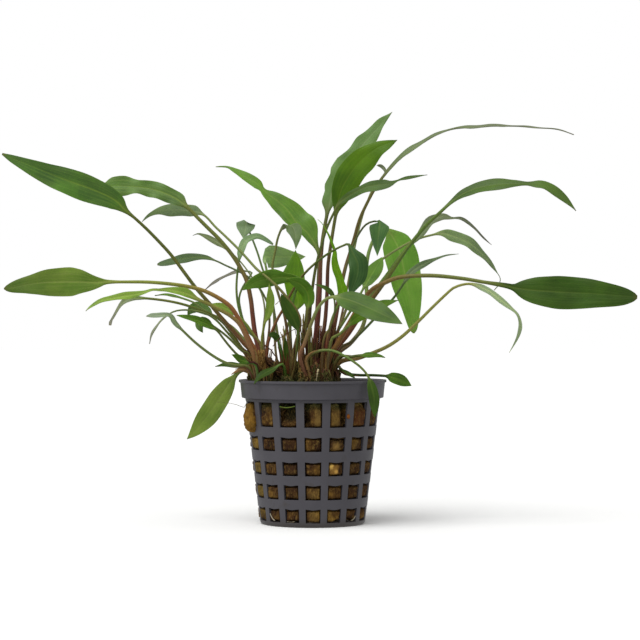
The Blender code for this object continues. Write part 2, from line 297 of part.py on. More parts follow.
CENTRAL_LEAVES = (
    Leaf("leaf_centre_dark_arch", "crown_central", colour="dark",
         depth=(-6.6, -8, -11), width=5, face=(24, 20), fold=10, stalk_width=(1.5, 1.2), widest=0.45,
         wedge=0.7,
         stalk=((-3.6, 56.2), (-2.9, 62), (-2.2, 68), (-1.8, 72)),
         blade=((-1.3, 75.4), (-2, 78.6), (-4.6, 81.2), (-8.9, 82.6))),
    Leaf("leaf_centre_big_folded", "crown_central", colour="green",
         depth=(3.6, 16, 30), face=(10, 30), fold=10, stalk_width=(1.7, 1.1),
         stalk=((0.6, 58.6), (1.2, 66), (1.6, 74), (2, 84), (2.1, 89)),
         blade=((1.7, 92.3), (-1.6, 98), (-5.25, 101.35), (-8.55, 105.85), (-12.05, 109.15),
                (-15.55, 111.65), (-17.35, 113.25), (-19.4, 115.3), (-22.9, 117.3), (-26.4, 119.4),
                (-29.1, 120.6), (-32.8, 120.6)),
         edges=((0, 0.6, 0.6), (0.06, 0.7, 0.9), (0.144, 1.6, 2.4), (0.251, 2.2, 5.4), (0.373, 3.5, 5),
                (0.477, 3.5, 3.2), (0.57, 2.4, 2), (0.618, 1.4, 1.1), (0.635, 1, 1), (0.66, 1.5, 1.5),
                (0.684, 1.8, 1.8), (0.771, 1.6, 1.8), (0.861, 1.1, 1.1), (0.924, 0.35, 0.35),
                (1, 0.1, 0.1))),
    Leaf("leaf_centre_top_wavy", "crown_central", colour="grey",
         depth=(-0.9, 2, 6), face=(12, 14), fold=8, stalk_width=(1.9, 1.2),
         stalk=((0.4, 58.6), (1.2, 64), (1.9, 70), (2.4, 78), (2.7, 88), (3.4, 96), (4.6, 103)),
         blade=((5.7, 108.1), (6.6, 112.2), (8.8, 117.2), (11.3, 121.2), (14.3, 125.1), (17.4, 128.7),
                (20.6, 132.3), (23.8, 135.7), (27, 139.2)),
         edges=((0, 0.6, 0.6), (0.05, 2, 0.9), (0.109, 3.4, 1.8), (0.16, 2.6, 2.4), (0.2, 2.4, 2.6),
                (0.25, 3.3, 2.8), (0.33, 3, 3.1), (0.376, 3.8, 3.3), (0.45, 3.9, 3.4), (0.502, 3.2, 3.4),
                (0.56, 2.7, 3.3), (0.66, 3.1, 3.2), (0.74, 2.4, 2.9), (0.8, 2.2, 2.2), (0.875, 1.9, 1.1),
                (1, 0, 0))),
    Leaf("leaf_centre_top_bright", "crown_central", colour="bright",
         depth=(-2.4, -6, -12), face=(12, 14), fold=8, stalk_width=(1.5, 1.1),
         stalk=((2.6, 58), (3.4, 63), (4.3, 69), (4.9, 78), (5.2, 87), (6.3, 95), (7.6, 103)),
         blade=((8.6, 108.6), (9.7, 112.7), (11.8, 116.7), (14.7, 120.8), (18.1, 124.2), (21.7, 126.9),
                (25.3, 128.4), (28.7, 129.7)),
         edges=((0, 0.6, 0.6), (0.12, 1.8, 2.4), (0.29, 3.4, 4.4), (0.45, 4.5, 5), (0.61, 4, 4.9),
                (0.76, 2.6, 3.7), (0.89, 1.4, 2.2), (1, 0, 0))),
    Leaf("leaf_centre_narrow", "crown_central", colour="green",
         depth=(1.2, -12, -20), face=(30, 30), fold=12, stalk_width=(1.3, 0.8),
         stalk=((-1.3, 57.4), (-1.1, 66), (-0.7, 74), (0.3, 82), (1.5, 88.5), (4, 97.5), (5.5, 101.5),
                (7.2, 105)),
         blade=((8.8, 107.9), (11.3, 110), (14.9, 112.2), (18.5, 113.8), (22.2, 114.4), (25.8, 114.8),
                (28, 115.6), (30.1, 116.4), (32.6, 117), (35.7, 117.5), (38.9, 117.9)),
         edges=((0, 0.55, 0.55), (0.1, 1, 1), (0.231, 1.25, 1.5), (0.353, 1.4, 1.95), (0.467, 1.8, 2.4),
                (0.579, 1.8, 1.85), (0.653, 0.9, 1.15), (0.72, 0.35, 0.4), (0.8, 0.5, 0.7),
                (0.9, 0.35, 0.45), (1, 0, 0))),
    Leaf("leaf_centre_high_arch", "crown_central", colour="grey",
         depth=(3.4, 9, 12), face=(58, 60), fold=14, stalk_width=(1.6, 1),
         stalk=((5.3, 58.2), (7.2, 66), (8.8, 76), (11, 86), (12.5, 91), (14, 96), (15.8, 102.4),
                (18, 107.4), (21, 113.05)),
         blade=((23.8, 117.2), (28.4, 122.4), (33.4, 126.5), (36.8, 128.6), (40.4, 130.8), (44, 132.5),
                (47.8, 133.6), (52, 134), (56.9, 134.2), (60.5, 134.5), (65.3, 134.5), (70.1, 134.4),
                (75.6, 133.9), (81, 133.6), (84.6, 132.9), (88.5, 131.5)),
         edges=((0, 0.6, 0.6), (0.09, 1, 1), (0.17, 1.4, 1.2), (0.23, 1.6, 1.4), (0.29, 1.5, 1.3),
                (0.345, 0.9, 0.8), (0.408, 0.6, 0.6), (0.468, 0.6, 0.6), (0.535, 0.9, 1.2),
                (0.59, 1.3, 1.1), (0.66, 0.7, 0.7), (0.73, 0.5, 0.5), (0.81, 0.4, 0.4), (1, 0.1, 0.1))),
    Leaf("leaf_centre_curl", "crown_central", colour="grey",
         depth=(8.4, 30, 36), width=1.8, face=(50, 50), fold=10, stalk_width=(0.9, 0.6), widest=0.45,
         wedge=0.9,
         stalk=((6.5, 57.6), (8.9, 66), (11, 76), (12.9, 86), (14.6, 95), (16.6, 103), (18.4, 108.4),
                (20.6, 113.4), (24.4, 117.6)),
         blade=((24.6, 119.4), (23.4, 120.8), (21.7, 121.1))),
    Leaf("leaf_centre_upright", "crown_central", colour="bright",
         depth=(-4.2, -9, -12), face=(18, 30), fold=10, stalk_width=(1.2, 0.8),
         stalk=((4.4, 57.6), (5.2, 63), (6.6, 69), (8.6, 73.6)),
         blade=((10, 76.6), (10.3, 78.4), (9.6, 80.9), (8.9, 83.8), (7.75, 87.1), (7.4, 89.4), (7.5, 92.1),
                (6.2, 95.8), (4.8, 98.7), (3.2, 101.4), (1.66, 102.8)),
         edges=((0, 0.8, 0.8), (0.064, 1.6, 1.6), (0.156, 1.75, 1.75), (0.26, 1.4, 1.4), (0.387, 1.5, 1.3),
                (0.47, 1.15, 1.15), (0.56, 0.9, 0.9), (0.7, 0.4, 0.4), (0.82, 0.25, 0.25), (1, 0, 0))),
    Leaf("leaf_centre_folded_dark", "crown_central", colour="blue",
         depth=(1.4, 3, -12), face=HANGING, fold=8, stalk_width=(1, 0.65), flatten=0.03,
         stalk=((6.2, 58.8), (7.9, 68), (9.6, 78), (11.2, 86), (12.6, 90.6), (14, 94.6), (15.6, 97.8),
                (17.4, 100.4), (19, 101.6), (20.6, 102.1)),
         blade=((22.2, 102.3), (22.8, 101.7), (22.7, 100.8), (22.4, 98.6), (22.1, 95), (21.9, 90.4)),
         edges=((0, 0.5, 0.5), (0.15, 0.6, 0.6), (0.22, 3, 3.1), (0.27, 3.4, 3.4), (0.4, 2.9, 3),
                (0.67, 1.6, 1.8), (1, 0, 0))),
    Leaf("leaf_centre_big_hanging", "crown_central", colour="light",
         depth=(6.4, 30, 22), face=(12, 10), fold=8, stalk_width=(1.6, 1.2),
         stalk=((8, 56.4), (13, 61), (17, 66.6), (18.3, 74), (18.2, 82), (18.6, 89.6), (20.4, 95.4),
                (23, 98.9)),
         blade=((26, 98.2), (29.2, 92.6), (31.3, 84), (33, 75), (34.3, 64.2)),
         edges=((0, 0.8, 0.8), (0.08, 3.2, 3.2), (0.2, 5.2, 5.2), (0.36, 6.1, 6.1), (0.55, 5.4, 5.4),
                (0.75, 3.8, 3.8), (0.9, 2.2, 2.2), (0.97, 1.3, 1.3), (1, 0.3, 0.3))),
    Leaf("leaf_centre_round", "crown_central", colour="green",
         depth=(-1.3, -0.8, 10), width=5.6, face=(22, 30), fold=8, stalk_width=(1, 0.8), widest=0.5,
         wedge=0.7,
         stalk=((5.6, 60), (9.6, 66.6), (13.6, 73), (17, 79)),
         blade=((19, 82.4), (20.8, 85.4), (22.4, 88), (23.6, 90))),
    Leaf("leaf_centre_thread_tip", "crown_central", colour="grey",
         depth=(4.6, 24, 44), face=(26, 26), fold=10, stalk_width=(1.1, 0.75),
         stalk=((7.3, 60.4), (9.8, 68), (12.6, 75.6), (15.4, 81.6), (18.9, 85.5), (24, 89.6), (31, 94),
                (35.8, 96.2), (40, 97.4)),
         blade=((43.8, 98), (47.1, 97.2), (50.4, 96), (53.4, 94.5), (56.4, 91.9), (59.1, 89.2),
                (61.5, 86.2), (63.4, 83.3), (63.5, 81.8), (62.8, 80.3), (61.5, 78.8)),
         edges=((0, 0.45, 0.45), (0.05, 1.1, 1), (0.112, 1.6, 1.6), (0.228, 2.2, 2.2), (0.339, 2.4, 2),
                (0.468, 2, 1.8), (0.594, 1.3, 1.2), (0.72, 0.65, 0.65), (0.83, 0.15, 0.15),
                (1, 0.12, 0.12))),
    Leaf("leaf_centre_long_arch", "crown_central", colour="green",
         depth=(-4.2, -10, -16), face=(42, 44), fold=12, stalk_width=(1.9, 1.1),
         stalk=((6.6, 56.6), (12, 64), (16, 70), (20, 75.6), (25, 82.5), (28, 87), (31, 91.5), (34, 95.5),
                (38.4, 100.7), (42.9, 104.9)),
         blade=((46.8, 108.45), (50.4, 111.05), (53.4, 112.45), (56.4, 113.5), (61.8, 114.4), (66.6, 114.7),
                (70.8, 114.8), (74.6, 114.7), (78.25, 114.3), (81.85, 112.2), (85.45, 109.5),
                (89.25, 105.7)),
         edges=((0, 0.6, 0.6), (0.09, 0.9, 0.9), (0.16, 1.3, 1.2), (0.24, 2, 2), (0.35, 2.7, 2.7),
                (0.455, 2.6, 2.4), (0.545, 1.8, 1.7), (0.625, 0.8, 0.7), (0.7, 1.9, 1.8), (0.79, 2.4, 2.1),
                (0.89, 1.8, 1.6), (1, 0, 0))),
    Leaf("leaf_centre_under_arch", "crown_central", colour="grey",
         depth=(-2.2, -1, 6), face=(24, 24), fold=12, stalk_width=(1.2, 0.8),
         stalk=((7.3, 58.6), (11.4, 65.6), (15.8, 72), (20.4, 78), (25.6, 84.8), (29, 89.6), (32, 93)),
         blade=((35.3, 96.15), (37.4, 98.85), (39.5, 101.95), (41.7, 103.2), (44.4, 103.8), (47.1, 103.2),
                (49.95, 103.15), (52.35, 101.95), (55.05, 99.65), (57.75, 96.65), (60.65, 94.15)),
         edges=((0, 0.45, 0.45), (0.108, 0.8, 0.8), (0.224, 1.5, 1.5), (0.307, 1.6, 1.6), (0.395, 1.3, 1.5),
                (0.482, 1.1, 1.2), (0.558, 0.4, 0.4), (0.642, 0.55, 0.55), (0.754, 0.5, 0.5),
                (0.88, 0.35, 0.35), (1, 0, 0))),
    Leaf("leaf_centre_dark_side", "crown_central", colour="grey",
         depth=(1.6, 6, 12), face=(24, 24), fold=12, stalk_width=(1, 0.8),
         stalk=((8.8, 58.2), (13, 61.3), (17, 65), (21, 69.2), (27.3, 76), (30.4, 80.4)),
         blade=((33, 84.4), (35.9, 86.6), (39.2, 88.4), (42.9, 89.8), (45.9, 90.7), (49.5, 91.1)),
         edges=((0, 0.4, 0.4), (0.186, 1.2, 1.2), (0.4, 1.2, 1.2), (0.62, 0.65, 0.65), (0.797, 0.28, 0.28),
                (1, 0, 0))),
    Leaf("leaf_centre_big_right", "crown_central", colour="dark",
         depth=(-6.2, -18, -24), face=(8, 8), fold=6, stalk_width=(1.8, 1.2),
         stalk=((5.6, 55.6), (8.6, 61), (12.6, 68), (16.8, 75), (20.4, 79.2), (24.4, 81.3), (30, 83.25),
                (40, 83.75), (50, 82.85), (58, 81.55)),
         blade=((65.2, 80.4), (68.6, 79.6), (73.7, 78.9), (80.4, 78.4), (87.2, 78), (94, 77.7),
                (100.8, 77.2), (105.8, 76.8), (110, 76.4)),
         edges=((0, 0.6, 0.6), (0.13, 0.65, 0.65), (0.175, 0.8, 0.75), (0.2, 1.2, 1.1), (0.235, 2.4, 2.4),
                (0.28, 3.5, 3.7), (0.344, 4.5, 4.7), (0.42, 5, 5.3), (0.496, 5.3, 5.6), (0.649, 5, 5.3),
                (0.8, 4, 4.2), (0.916, 2.8, 3), (0.98, 1.4, 1.5), (1, 0.5, 0.5))),
    Leaf("leaf_centre_low_right", "crown_central", colour="grey",
         depth=(0.6, -6, -10), face=(24, 24), fold=12, stalk_width=(1.5, 0.85),
         stalk=((8.6, 54.2), (15, 55.6), (20, 57.4), (25.35, 59.75), (30.35, 63.15), (35.35, 67.75),
                (40.35, 72.75), (45.35, 77.55), (48, 79.7), (52, 80.9)),
         blade=((55.2, 80.5), (59.7, 78.5), (63.6, 75.5), (67.3, 72.6), (69.4, 70.5), (70.3, 67.5),
                (70.1, 64.9), (69.1, 62.1), (66.6, 57.6)),
         edges=((0, 0.45, 0.45), (0.08, 0.85, 0.75), (0.158, 1.1, 1.1), (0.314, 1.1, 1.2),
                (0.462, 0.8, 0.9), (0.557, 0.55, 0.55), (0.657, 0.55, 0.55), (0.74, 0.65, 0.65),
                (0.836, 0.5, 0.5), (1, 0, 0))),
    Leaf("leaf_centre_front", "crown_central", colour="green",
         depth=(-9.4, -26, -46), width=8, face=(30, 30), fold=8, stalk_width=(1.4, 1), widest=0.45,
         wedge=0.7,
         stalk=((-4.2, 55.6), (-2.6, 61), (-1.2, 65.4), (0, 68.7), (1.5, 72.2), (3.6, 75), (6, 76.4)),
         blade=((9, 76.3), (13, 75.2), (17, 73.6), (21, 71.8), (25, 69.8), (30.4, 67.4))),
    Leaf("leaf_centre_behind_front", "crown_central", colour="bright",
         depth=(-8.4, -14, -24), width=4.2, face=(34, 40), fold=10, stalk_width=(1.2, 0.9), widest=0.42,
         wedge=0.7,
         stalk=((6.2, 61.4), (8.8, 63.6), (11.4, 66)),
         blade=((14.4, 68.9), (18, 71.3), (23, 73.7), (29, 75.4))),
    Leaf("leaf_centre_tiny_dark", "crown_central", colour="green",
         depth=(-9.6, -15, -19), width=2, face=(40, 44), fold=12, stalk_width=(0.9, 0.6), widest=0.42,
         wedge=0.9,
         stalk=((3.6, 61.2), (5.8, 66), (7.4, 71), (7.4, 75.4)),
         blade=((6.4, 77.6), (4.6, 79.2), (2.8, 80.1), (0.8, 80.8))),
    Leaf("leaf_centre_arch_over_rim", "crown_central", colour="dark",
         depth=(-11.2, -18.4, -18.6), width=3.6, face=(14, 10), fold=10, stalk_width=(1.1, 0.75),
         widest=0.45, wedge=0.8,
         stalk=((-2, 54.2), (-0.8, 56.8), (1.6, 58.1), (5, 58.5), (8, 57.9), (11, 56.4), (14, 54.5),
                (16.7, 52.3), (18.8, 49.6)),
         blade=((20, 46), (20.7, 42.6), (21, 39.4), (21.1, 35.6))),
    Leaf("leaf_centre_low_side", "crown_central", colour="dark",
         depth=(4.2, 6, 8), width=4.2, face=(24, 20), fold=8, stalk_width=(1.1, 0.9), widest=0.42,
         wedge=0.7,
         stalk=((8.6, 51.5), (12, 50.4), (16, 50), (20, 50), (24.6, 49.75)),
         blade=((26.9, 49.2), (29.9, 48.3), (33.5, 46.4))),
    Leaf("leaf_centre_low_small", "crown_central", colour="dark",
         depth=(-2, -4, -7), width=1.8, face=(50, 50), fold=10, stalk_width=(0.9, 0.8), widest=0.4,
         wedge=0.8,
         stalk=((8, 52.7), (9.6, 52)),
         blade=((11, 51.2), (12.6, 50.2), (14.4, 49))),
    Leaf("leaf_centre_side_small", "crown_central", colour="dark",
         depth=(-5, -12, -20), width=2.6, face=(50, 54), fold=12, stalk_width=(1.1, 0.9), widest=0.42,
         wedge=0.8,
         stalk=((8.6, 55.8), (12.4, 56.2), (16, 56.7)),
         blade=((18.6, 56.8), (21.4, 56.6), (24.6, 56))),
)

# Rootstocks: centre x, y and z of the flat underside, then radii x, y and height
CROWNS = {
    "crown_left": ((-17.2, -3.2, 45.6), (4.0, 9.8, 12.4)),
    "crown_middle": ((-8.8, -1.8, 45.6), (2.6, 6.6, 6.6)),
    "crown_central": ((2.4, -0.8, 45.6), (6.4, 10.0, 12.2)),
}
CROWN_GAP = 0.7
CROWN_LUMP = 0.06
HEART_Z = 46.5
HEART_SHARE = 0.45

COLOURS = {
    "dark": (0.045, 0.105, 0.022, 1.0),
    "green": (0.085, 0.175, 0.035, 1.0),
    "light": (0.150, 0.270, 0.055, 1.0),
    "bright": (0.130, 0.250, 0.020, 1.0),
    "grey": (0.110, 0.180, 0.075, 1.0),
    "blue": (0.040, 0.120, 0.050, 1.0),
    "pot": (0.110, 0.108, 0.125, 1.0),
    "plug": (0.160, 0.115, 0.040, 1.0),
    "crown": (0.090, 0.048, 0.022, 1.0),
}


def clear_scene():
    for item in list(bpy.data.objects):
        bpy.data.objects.remove(item, do_unlink=True)


def make_collection(name):
    collection = bpy.data.collections.new(name)
    bpy.context.scene.collection.children.link(collection)
    return collection


def make_material(name, colour, roughness):
    material = bpy.data.materials.new(name)
    material.use_nodes = True
    shader = material.node_tree.nodes["Principled BSDF"]
    shader.inputs["Base Color"].default_value = COLOURS[colour]
    shader.inputs["Roughness"].default_value = roughness
    shader.inputs["Metallic"].default_value = 0.0
    material.diffuse_color = COLOURS[colour]
    return material


def add_object(name, mesh_builder, collection, material):
    """Turn a bmesh into a named object of the collection."""
    mesh = bpy.data.meshes.new(name)
    bmesh.ops.recalc_face_normals(mesh_builder, faces=mesh_builder.faces[:])
    mesh_builder.to_mesh(mesh)
    mesh_builder.free()
    mesh.materials.append(material)
    item = bpy.data.objects.new(name, mesh)
    collection.objects.link(item)
    return item


def true_place(x, z, depth):
    """The place of a point seen at (x, z) in the plane of the pot's axis, when it lies at this depth."""
    spread = 1.0 + depth / EYE_DISTANCE
    return Vector((EYE_X + (x - EYE_X) * spread, depth, EYE_Z + (z - EYE_Z) * spread))


def smooth_path(points):
    """A dense Catmull-Rom path through the points, as (place, point index as a float)."""
    last = len(points) - 1
    path = []
    for index in range(last):
        before = points[max(index - 1, 0)]
        start = points[index]
        end = points[index + 1]
        after = points[min(index + 2, last)]
        for step in range(PATH_STEPS):
            t = step / PATH_STEPS
            place = 0.5 * (2 * start + (end - before) * t
                           + (2 * before - 5 * start + 4 * end - after) * t ** 2
                           + (3 * start - before - 3 * end + after) * t ** 3)
            path.append((place, index + t))
    path.append((points[last], float(last)))
    return path


def clear_of_crown(place, crown):
    """Whether a stalk at this place has left its rootstock."""
    centre, radii = CROWNS[crown]
    return sum(((place[i] - centre[i]) / (radii[i] + CROWN_GAP)) ** 2 for i in range(3)) > 1.0


def between(place, knots, values):
    """A value on the straight runs between these knots."""
    for index in range(1, len(knots)):
        if place <= knots[index] or index == len(knots) - 1:
            share = (place - knots[index - 1]) / (knots[index] - knots[index - 1])
            return values[index - 1] + (values[index] - values[index - 1]) * min(max(share, 0.0), 1.0)


def leaf_depths(leaf, lengths, start_length):
    """y along a leaf, through its depths in straight runs whose corners are eased."""
    stalk_runs = len(leaf.depth) - 2
    knots = [start_length * index / stalk_runs for index in range(stalk_runs + 1)] + [lengths[-1]]
    depths = []
    for length in lengths:
        reach = min(DEPTH_EASE, length, lengths[-1] - length)
        shifts = [2 * index / (DEPTH_SAMPLES - 1) - 1 for index in range(DEPTH_SAMPLES)]
        nearby = [between(length + reach * shift, knots, leaf.depth) for shift in shifts]
        depths.append(sum(nearby) / DEPTH_SAMPLES)
    return depths


def telling_indices(outline, lengths, first, final, count):
    """Indices of count points, from the first to before the last, that straight lines follow best."""
    chosen = [first, final]
    while len(chosen) <= count:
        best, where = -1.0, None
        for low, high in zip(chosen, chosen[1:]):
            for index in range(low + 1, high):
                share = (lengths[index] - lengths[low]) / (lengths[high] - lengths[low])
                off = sum(abs(value - one - (two - one) * share)
                          for value, one, two in zip(outline[index], outline[low], outline[high]))
                if off > best:
                    best, where = off, index
        if where is None:
            break
        chosen = sorted(chosen + [where])
    return chosen[:-1]


def leaf_stations(leaf):
    """(place, tangent, blade share) at the sections of a leaf. The share is negative on the stalk."""
    (crown_x, _, _), _ = CROWNS[leaf.crown]
    heart = (crown_x + HEART_SHARE * (leaf.stalk[0][0] - crown_x), HEART_Z)
    path = smooth_path([Vector((x, 0.0, z)) for x, z in (heart,) + leaf.stalk + leaf.blade])
    lengths = [0.0]
    for one, two in zip(path, path[1:]):
        lengths.append(lengths[-1] + (two[0] - one[0]).length)
    blade_index = len(leaf.stalk)
    start_length = next(length for length, (_, index) in zip(lengths, path) if index >= blade_index)
    depths = leaf_depths(leaf, lengths, start_length)
    places = [true_place(place.x, place.z, depth) for (place, _), depth in zip(path, depths)]
    start = lengths.index(start_length)
    last = len(places) - 1
    real = [0.0]
    for one, two in zip(places, places[1:]):
        real.append(real[-1] + (two - one).length)
    shares = [(run - real[start]) / (real[last] - real[start]) for run in real]
    first = next(i for i, place in enumerate(places) if clear_of_crown(place, leaf.crown))
    travel = [0.0] * (first + 2)
    bend = 0.0
    for index in range(first + 2, len(places)):
        before, middle, after = places[index - 2:index + 1]
        bend += (middle - before).angle(after - middle)
        travel.append(real[index] - real[first] + BEND_LENGTH * bend)
    fewest, most = BLADE_STATIONS
    stalk_count = max(2, round(travel[start] / STALK_SPACING))
    blade_count = max(fewest, min(most, round((travel[last] - travel[start]) / BLADE_SPACING)))
    outline = [(*place, half_width(leaf, share, 1), half_width(leaf, share, 2))
               for place, share in zip(places, shares)]
    chosen = telling_indices(outline, real, first, start, stalk_count)
    chosen += telling_indices(outline, real, start, last, blade_count) + [last]
    stations = []
    for index in chosen:
        tangent = places[min(index + 1, last)] - places[max(index - 1, 0)]
        stations.append((places[index], tangent.normalized(), shares[index]))
    return stations


def half_width(leaf, share, side):
    """Half the blade's width on one side, 1 or 2, at a share of its length: a wedge that ends in a point."""
    if share <= 0.0:
        return 0.0
    if leaf.edges:
        return between(share, [row[0] for row in leaf.edges], [row[side] for row in leaf.edges])
    if share < leaf.widest:
        fullness = math.sin(math.pi / 2 * (share / leaf.widest) ** leaf.wedge)
    else:
        fullness = math.cos(math.pi / 2 * ((share - leaf.widest) / (1 - leaf.widest)) ** leaf.taper)
    return 0.5 * leaf.width * max(fullness, 0.0)


def carry_on(directions, first):
    """Turn round each direction that points against its neighbour, starting from one station."""
    for order in (range(first + 1, len(directions)), range(first - 1, -1, -1)):
        step = order.step
        for index in order:
            if directions[index].dot(directions[index - step]) < 0:
                directions[index] = -directions[index]


def leaf_frames(leaf):
    """Stations with the width direction and the upper side's normal, turned smoothly along the leaf."""
    stations = leaf_stations(leaf)
    viewer = Vector((0, -1, 0))
    facing = []
    for _, tangent, _ in stations:
        toward = viewer - tangent * tangent.dot(viewer)
        facing.append(toward.normalized())
    sides = [tangent.cross(toward) for (_, tangent, _), toward in zip(stations, facing)]
    blade_start = next(i for i, (_, _, share) in enumerate(stations) if share >= 0.0)
    if sides[blade_start].z + 0.01 * sides[blade_start].x < 0:
        sides[blade_start] = -sides[blade_start]
    carry_on(sides, blade_start)
    carry_on(facing, len(facing) - 1)
    frames = []
    for (place, tangent, share), toward, side in zip(stations, facing, sides):
        if leaf.face is HANGING:
            level = Vector((1, 0, 0)) - tangent * tangent.x
            normal = tangent.cross(level.normalized())
        else:
            along = min(max(share, 0.0), 1.0)
            angle = math.radians(leaf.face[0] + (leaf.face[1] - leaf.face[0]) * along)
            normal = toward * math.cos(angle) + side * math.sin(angle)
        across = tangent.cross(normal).normalized()
        frames.append((place, across, normal, share))
    return frames


def leaf_section(leaf, share, fold):
    """Six corners (across, up) of a leaf's section: a round stalk that flattens into a keeled blade."""
    base_width, top_width = leaf.stalk_width
    radius = 0.5 * (base_width + (top_width - base_width) * min(max(1.0 + share, 0.0), 1.0))
    halves = [radius, radius]
    if share > 0:
        narrowest = radius * (1 - share) + BLADE_SHOULDER
        halves = [max(half_width(leaf, share, side), narrowest) for side in (1, 2)]
    flat = min(max(share / leaf.flatten, 0.0), 1.0)
    edge = 0.5 * (radius * (1 - flat) + BLADE_EDGE * flat)
    middle = radius * (1 - flat) + 0.5 * BLADE_MIDDLE * flat
    one, two = (fold * half * flat for half in halves)
    return ((-halves[0], one + edge), (0.0, middle), (halves[1], two + edge),
            (halves[1], two - edge), (0.0, -middle), (-halves[0], one - edge))


def close_ends(builder):
    bmesh.ops.holes_fill(builder, edges=[edge for edge in builder.edges if edge.is_boundary], sides=0)


def leaf_mesh(leaf):
    """A loft through the leaf's sections, closed at both ends."""
    builder = bmesh.new()
    fold = math.tan(math.radians(leaf.fold))
    rings = []
    for place, across, normal, share in leaf_frames(leaf):
        rings.append([builder.verts.new((place + across * u + normal * v) * MM)
                      for u, v in leaf_section(leaf, share, fold)])
    for ring, following in zip(rings, rings[1:]):
        for corner in range(len(ring)):
            after = (corner + 1) % len(ring)
            builder.faces.new((ring[corner], ring[after], following[after], following[corner]))
    close_ends(builder)
    return builder


def wall_radius(z):
    """Outer radius of the tapered wall at a height."""
    return BASE_RADIUS + (WALL_TOP_RADIUS - BASE_RADIUS) * z / COLLAR_BOTTOM_Z


def window_turn(place, pitch):
    """The angle, in degrees, from a point to the nearest middle of a window column, at this pitch."""
    angle = math.degrees(math.atan2(place.y, place.x)) - FRONT_WINDOW_ANGLE
    return (angle + pitch / 2) % pitch - pitch / 2


def turned_surface(outline):
    """Turn (radius, z) points about the Z axis. Its facets are the windows and the bars between them."""
    builder = bmesh.new()
    verts = [builder.verts.new((radius * MM, 0.0, z * MM)) for radius, z in outline]
    edges = [builder.edges.new(pair) for pair in zip(verts, verts[1:])]
    facets = 2 * WINDOW_COLUMNS
    bmesh.ops.spin(builder, geom=verts + edges, axis=(0, 0, 1), cent=(0, 0, 0),
                   angle=2 * math.pi, steps=facets, use_merge=True)
    pitch = 360.0 / WINDOW_COLUMNS
    for vert in builder.verts:
        radius = math.hypot(vert.co.x, vert.co.y)
        facet = round(math.degrees(math.atan2(vert.co.y, vert.co.x)) / (pitch / 2))
        column, side = divmod(facet, 2)
        angle = math.radians(FRONT_WINDOW_ANGLE + column * pitch + WINDOW_ANGLE * (side - 0.5))
        vert.co.x = radius * math.cos(angle)
        vert.co.y = radius * math.sin(angle)
    return builder


def is_open(place):
    """Whether this point of the pot's surface lies in a wall window or in one of the floor's slots."""
    z = place.z / MM
    radius = place.xy.length / MM
    if z < FOOT_CHAMFER / 2:
        slot_turn = window_turn(place, 720.0 / WINDOW_COLUMNS)
        return FLOOR_HUB_RADIUS < radius < FLOOR_SLOT_OUTER and abs(slot_turn) < WINDOW_ANGLE / 2
    if abs(window_turn(place, 360.0 / WINDOW_COLUMNS)) > WINDOW_ANGLE / 2:
        return False
    return any(bottom < z < top for bottom, top in WINDOW_ROWS)


def build_pot(collection):
    """A thin shell: flat floor with slots, tapered wall with rows of windows, plain collar and lip."""
    outline = [(FLOOR_HUB_RADIUS, 0.0), (FLOOR_SLOT_OUTER, 0.0), (BASE_RADIUS - FOOT_CHAMFER, 0.0)]
    for row in WINDOW_ROWS:
        outline += [(wall_radius(z), z) for z in row]
    outline += [(WALL_TOP_RADIUS, COLLAR_BOTTOM_Z), (COLLAR_BOTTOM_RADIUS, COLLAR_BOTTOM_Z + COLLAR_STEP),
                (COLLAR_TOP_RADIUS, LIP_Z), (LIP_RADIUS, LIP_Z + LIP_STEP), (LIP_RADIUS, POT_HEIGHT)]
    builder = turned_surface(outline)
    rims = [edge for edge in builder.edges if edge.is_boundary]
    hub = [edge for edge in rims if edge.verts[0].co.z < FOOT_CHAMFER * MM]
    bmesh.ops.holes_fill(builder, edges=hub, sides=0)
    windows = [face for face in builder.faces if is_open(face.calc_center_median())]
    bmesh.ops.delete(builder, geom=windows, context="FACES")
    pot = add_object("net_pot", builder, collection, make_material("pot_plastic", "pot", 0.45))
    wall = pot.modifiers.new("Wall", "SOLIDIFY")
    wall.thickness = POT_WALL * MM
    wall.offset = -1.0
    wall.use_even_offset = True
    return pot


def build_plug(collection):
    """Rock wool pressed into the pot, with a low crest and one lump squeezed out through a top window."""
    window_bottom, window_top = WINDOW_ROWS[-1]
    levels = (PLUG_BOTTOM_Z, *PLUG_LEVELS, window_bottom + NECK_MARGIN, window_top - NECK_MARGIN, PLUG_TOP_Z)
    outline = [(wall_radius(z) - POT_WALL - PLUG_GAP, z) for z in levels]
    builder = turned_surface(outline + list(PLUG_CREST))
    close_ends(builder)
    for vert in builder.verts:
        if vert.co.z > (PLUG_TOP_Z + 0.1) * MM:
            vert.co.z += CREST_WAVE * MM * math.sin(3 * math.atan2(vert.co.y, vert.co.x))
    lump_angle = math.radians(LUMP_ANGLE)
    toward_lump = Vector((math.cos(lump_angle), math.sin(lump_angle), 0.0))
    in_row = [face for face in builder.faces
              if window_bottom < face.calc_center_median().z / MM < window_top]
    push_lump(builder, max(in_row, key=lambda face: face.calc_center_median().dot(toward_lump)), toward_lump)
    return add_object("rock_wool_plug", builder, collection, make_material("rock_wool", "plug", 0.95))


def push_lump(builder, face, outward):
    """Draw one face of the plug out through its window and round off its end."""
    middle = face.calc_center_median()
    for reach, shrink in LUMP_STEPS:
        moved = bmesh.ops.extrude_discrete_faces(builder, faces=[face])
        face = moved["faces"][0]
        for vert in face.verts:
            level = middle + (vert.co - middle) * shrink
            vert.co = level - outward * (level - middle).dot(outward) + outward * reach * MM


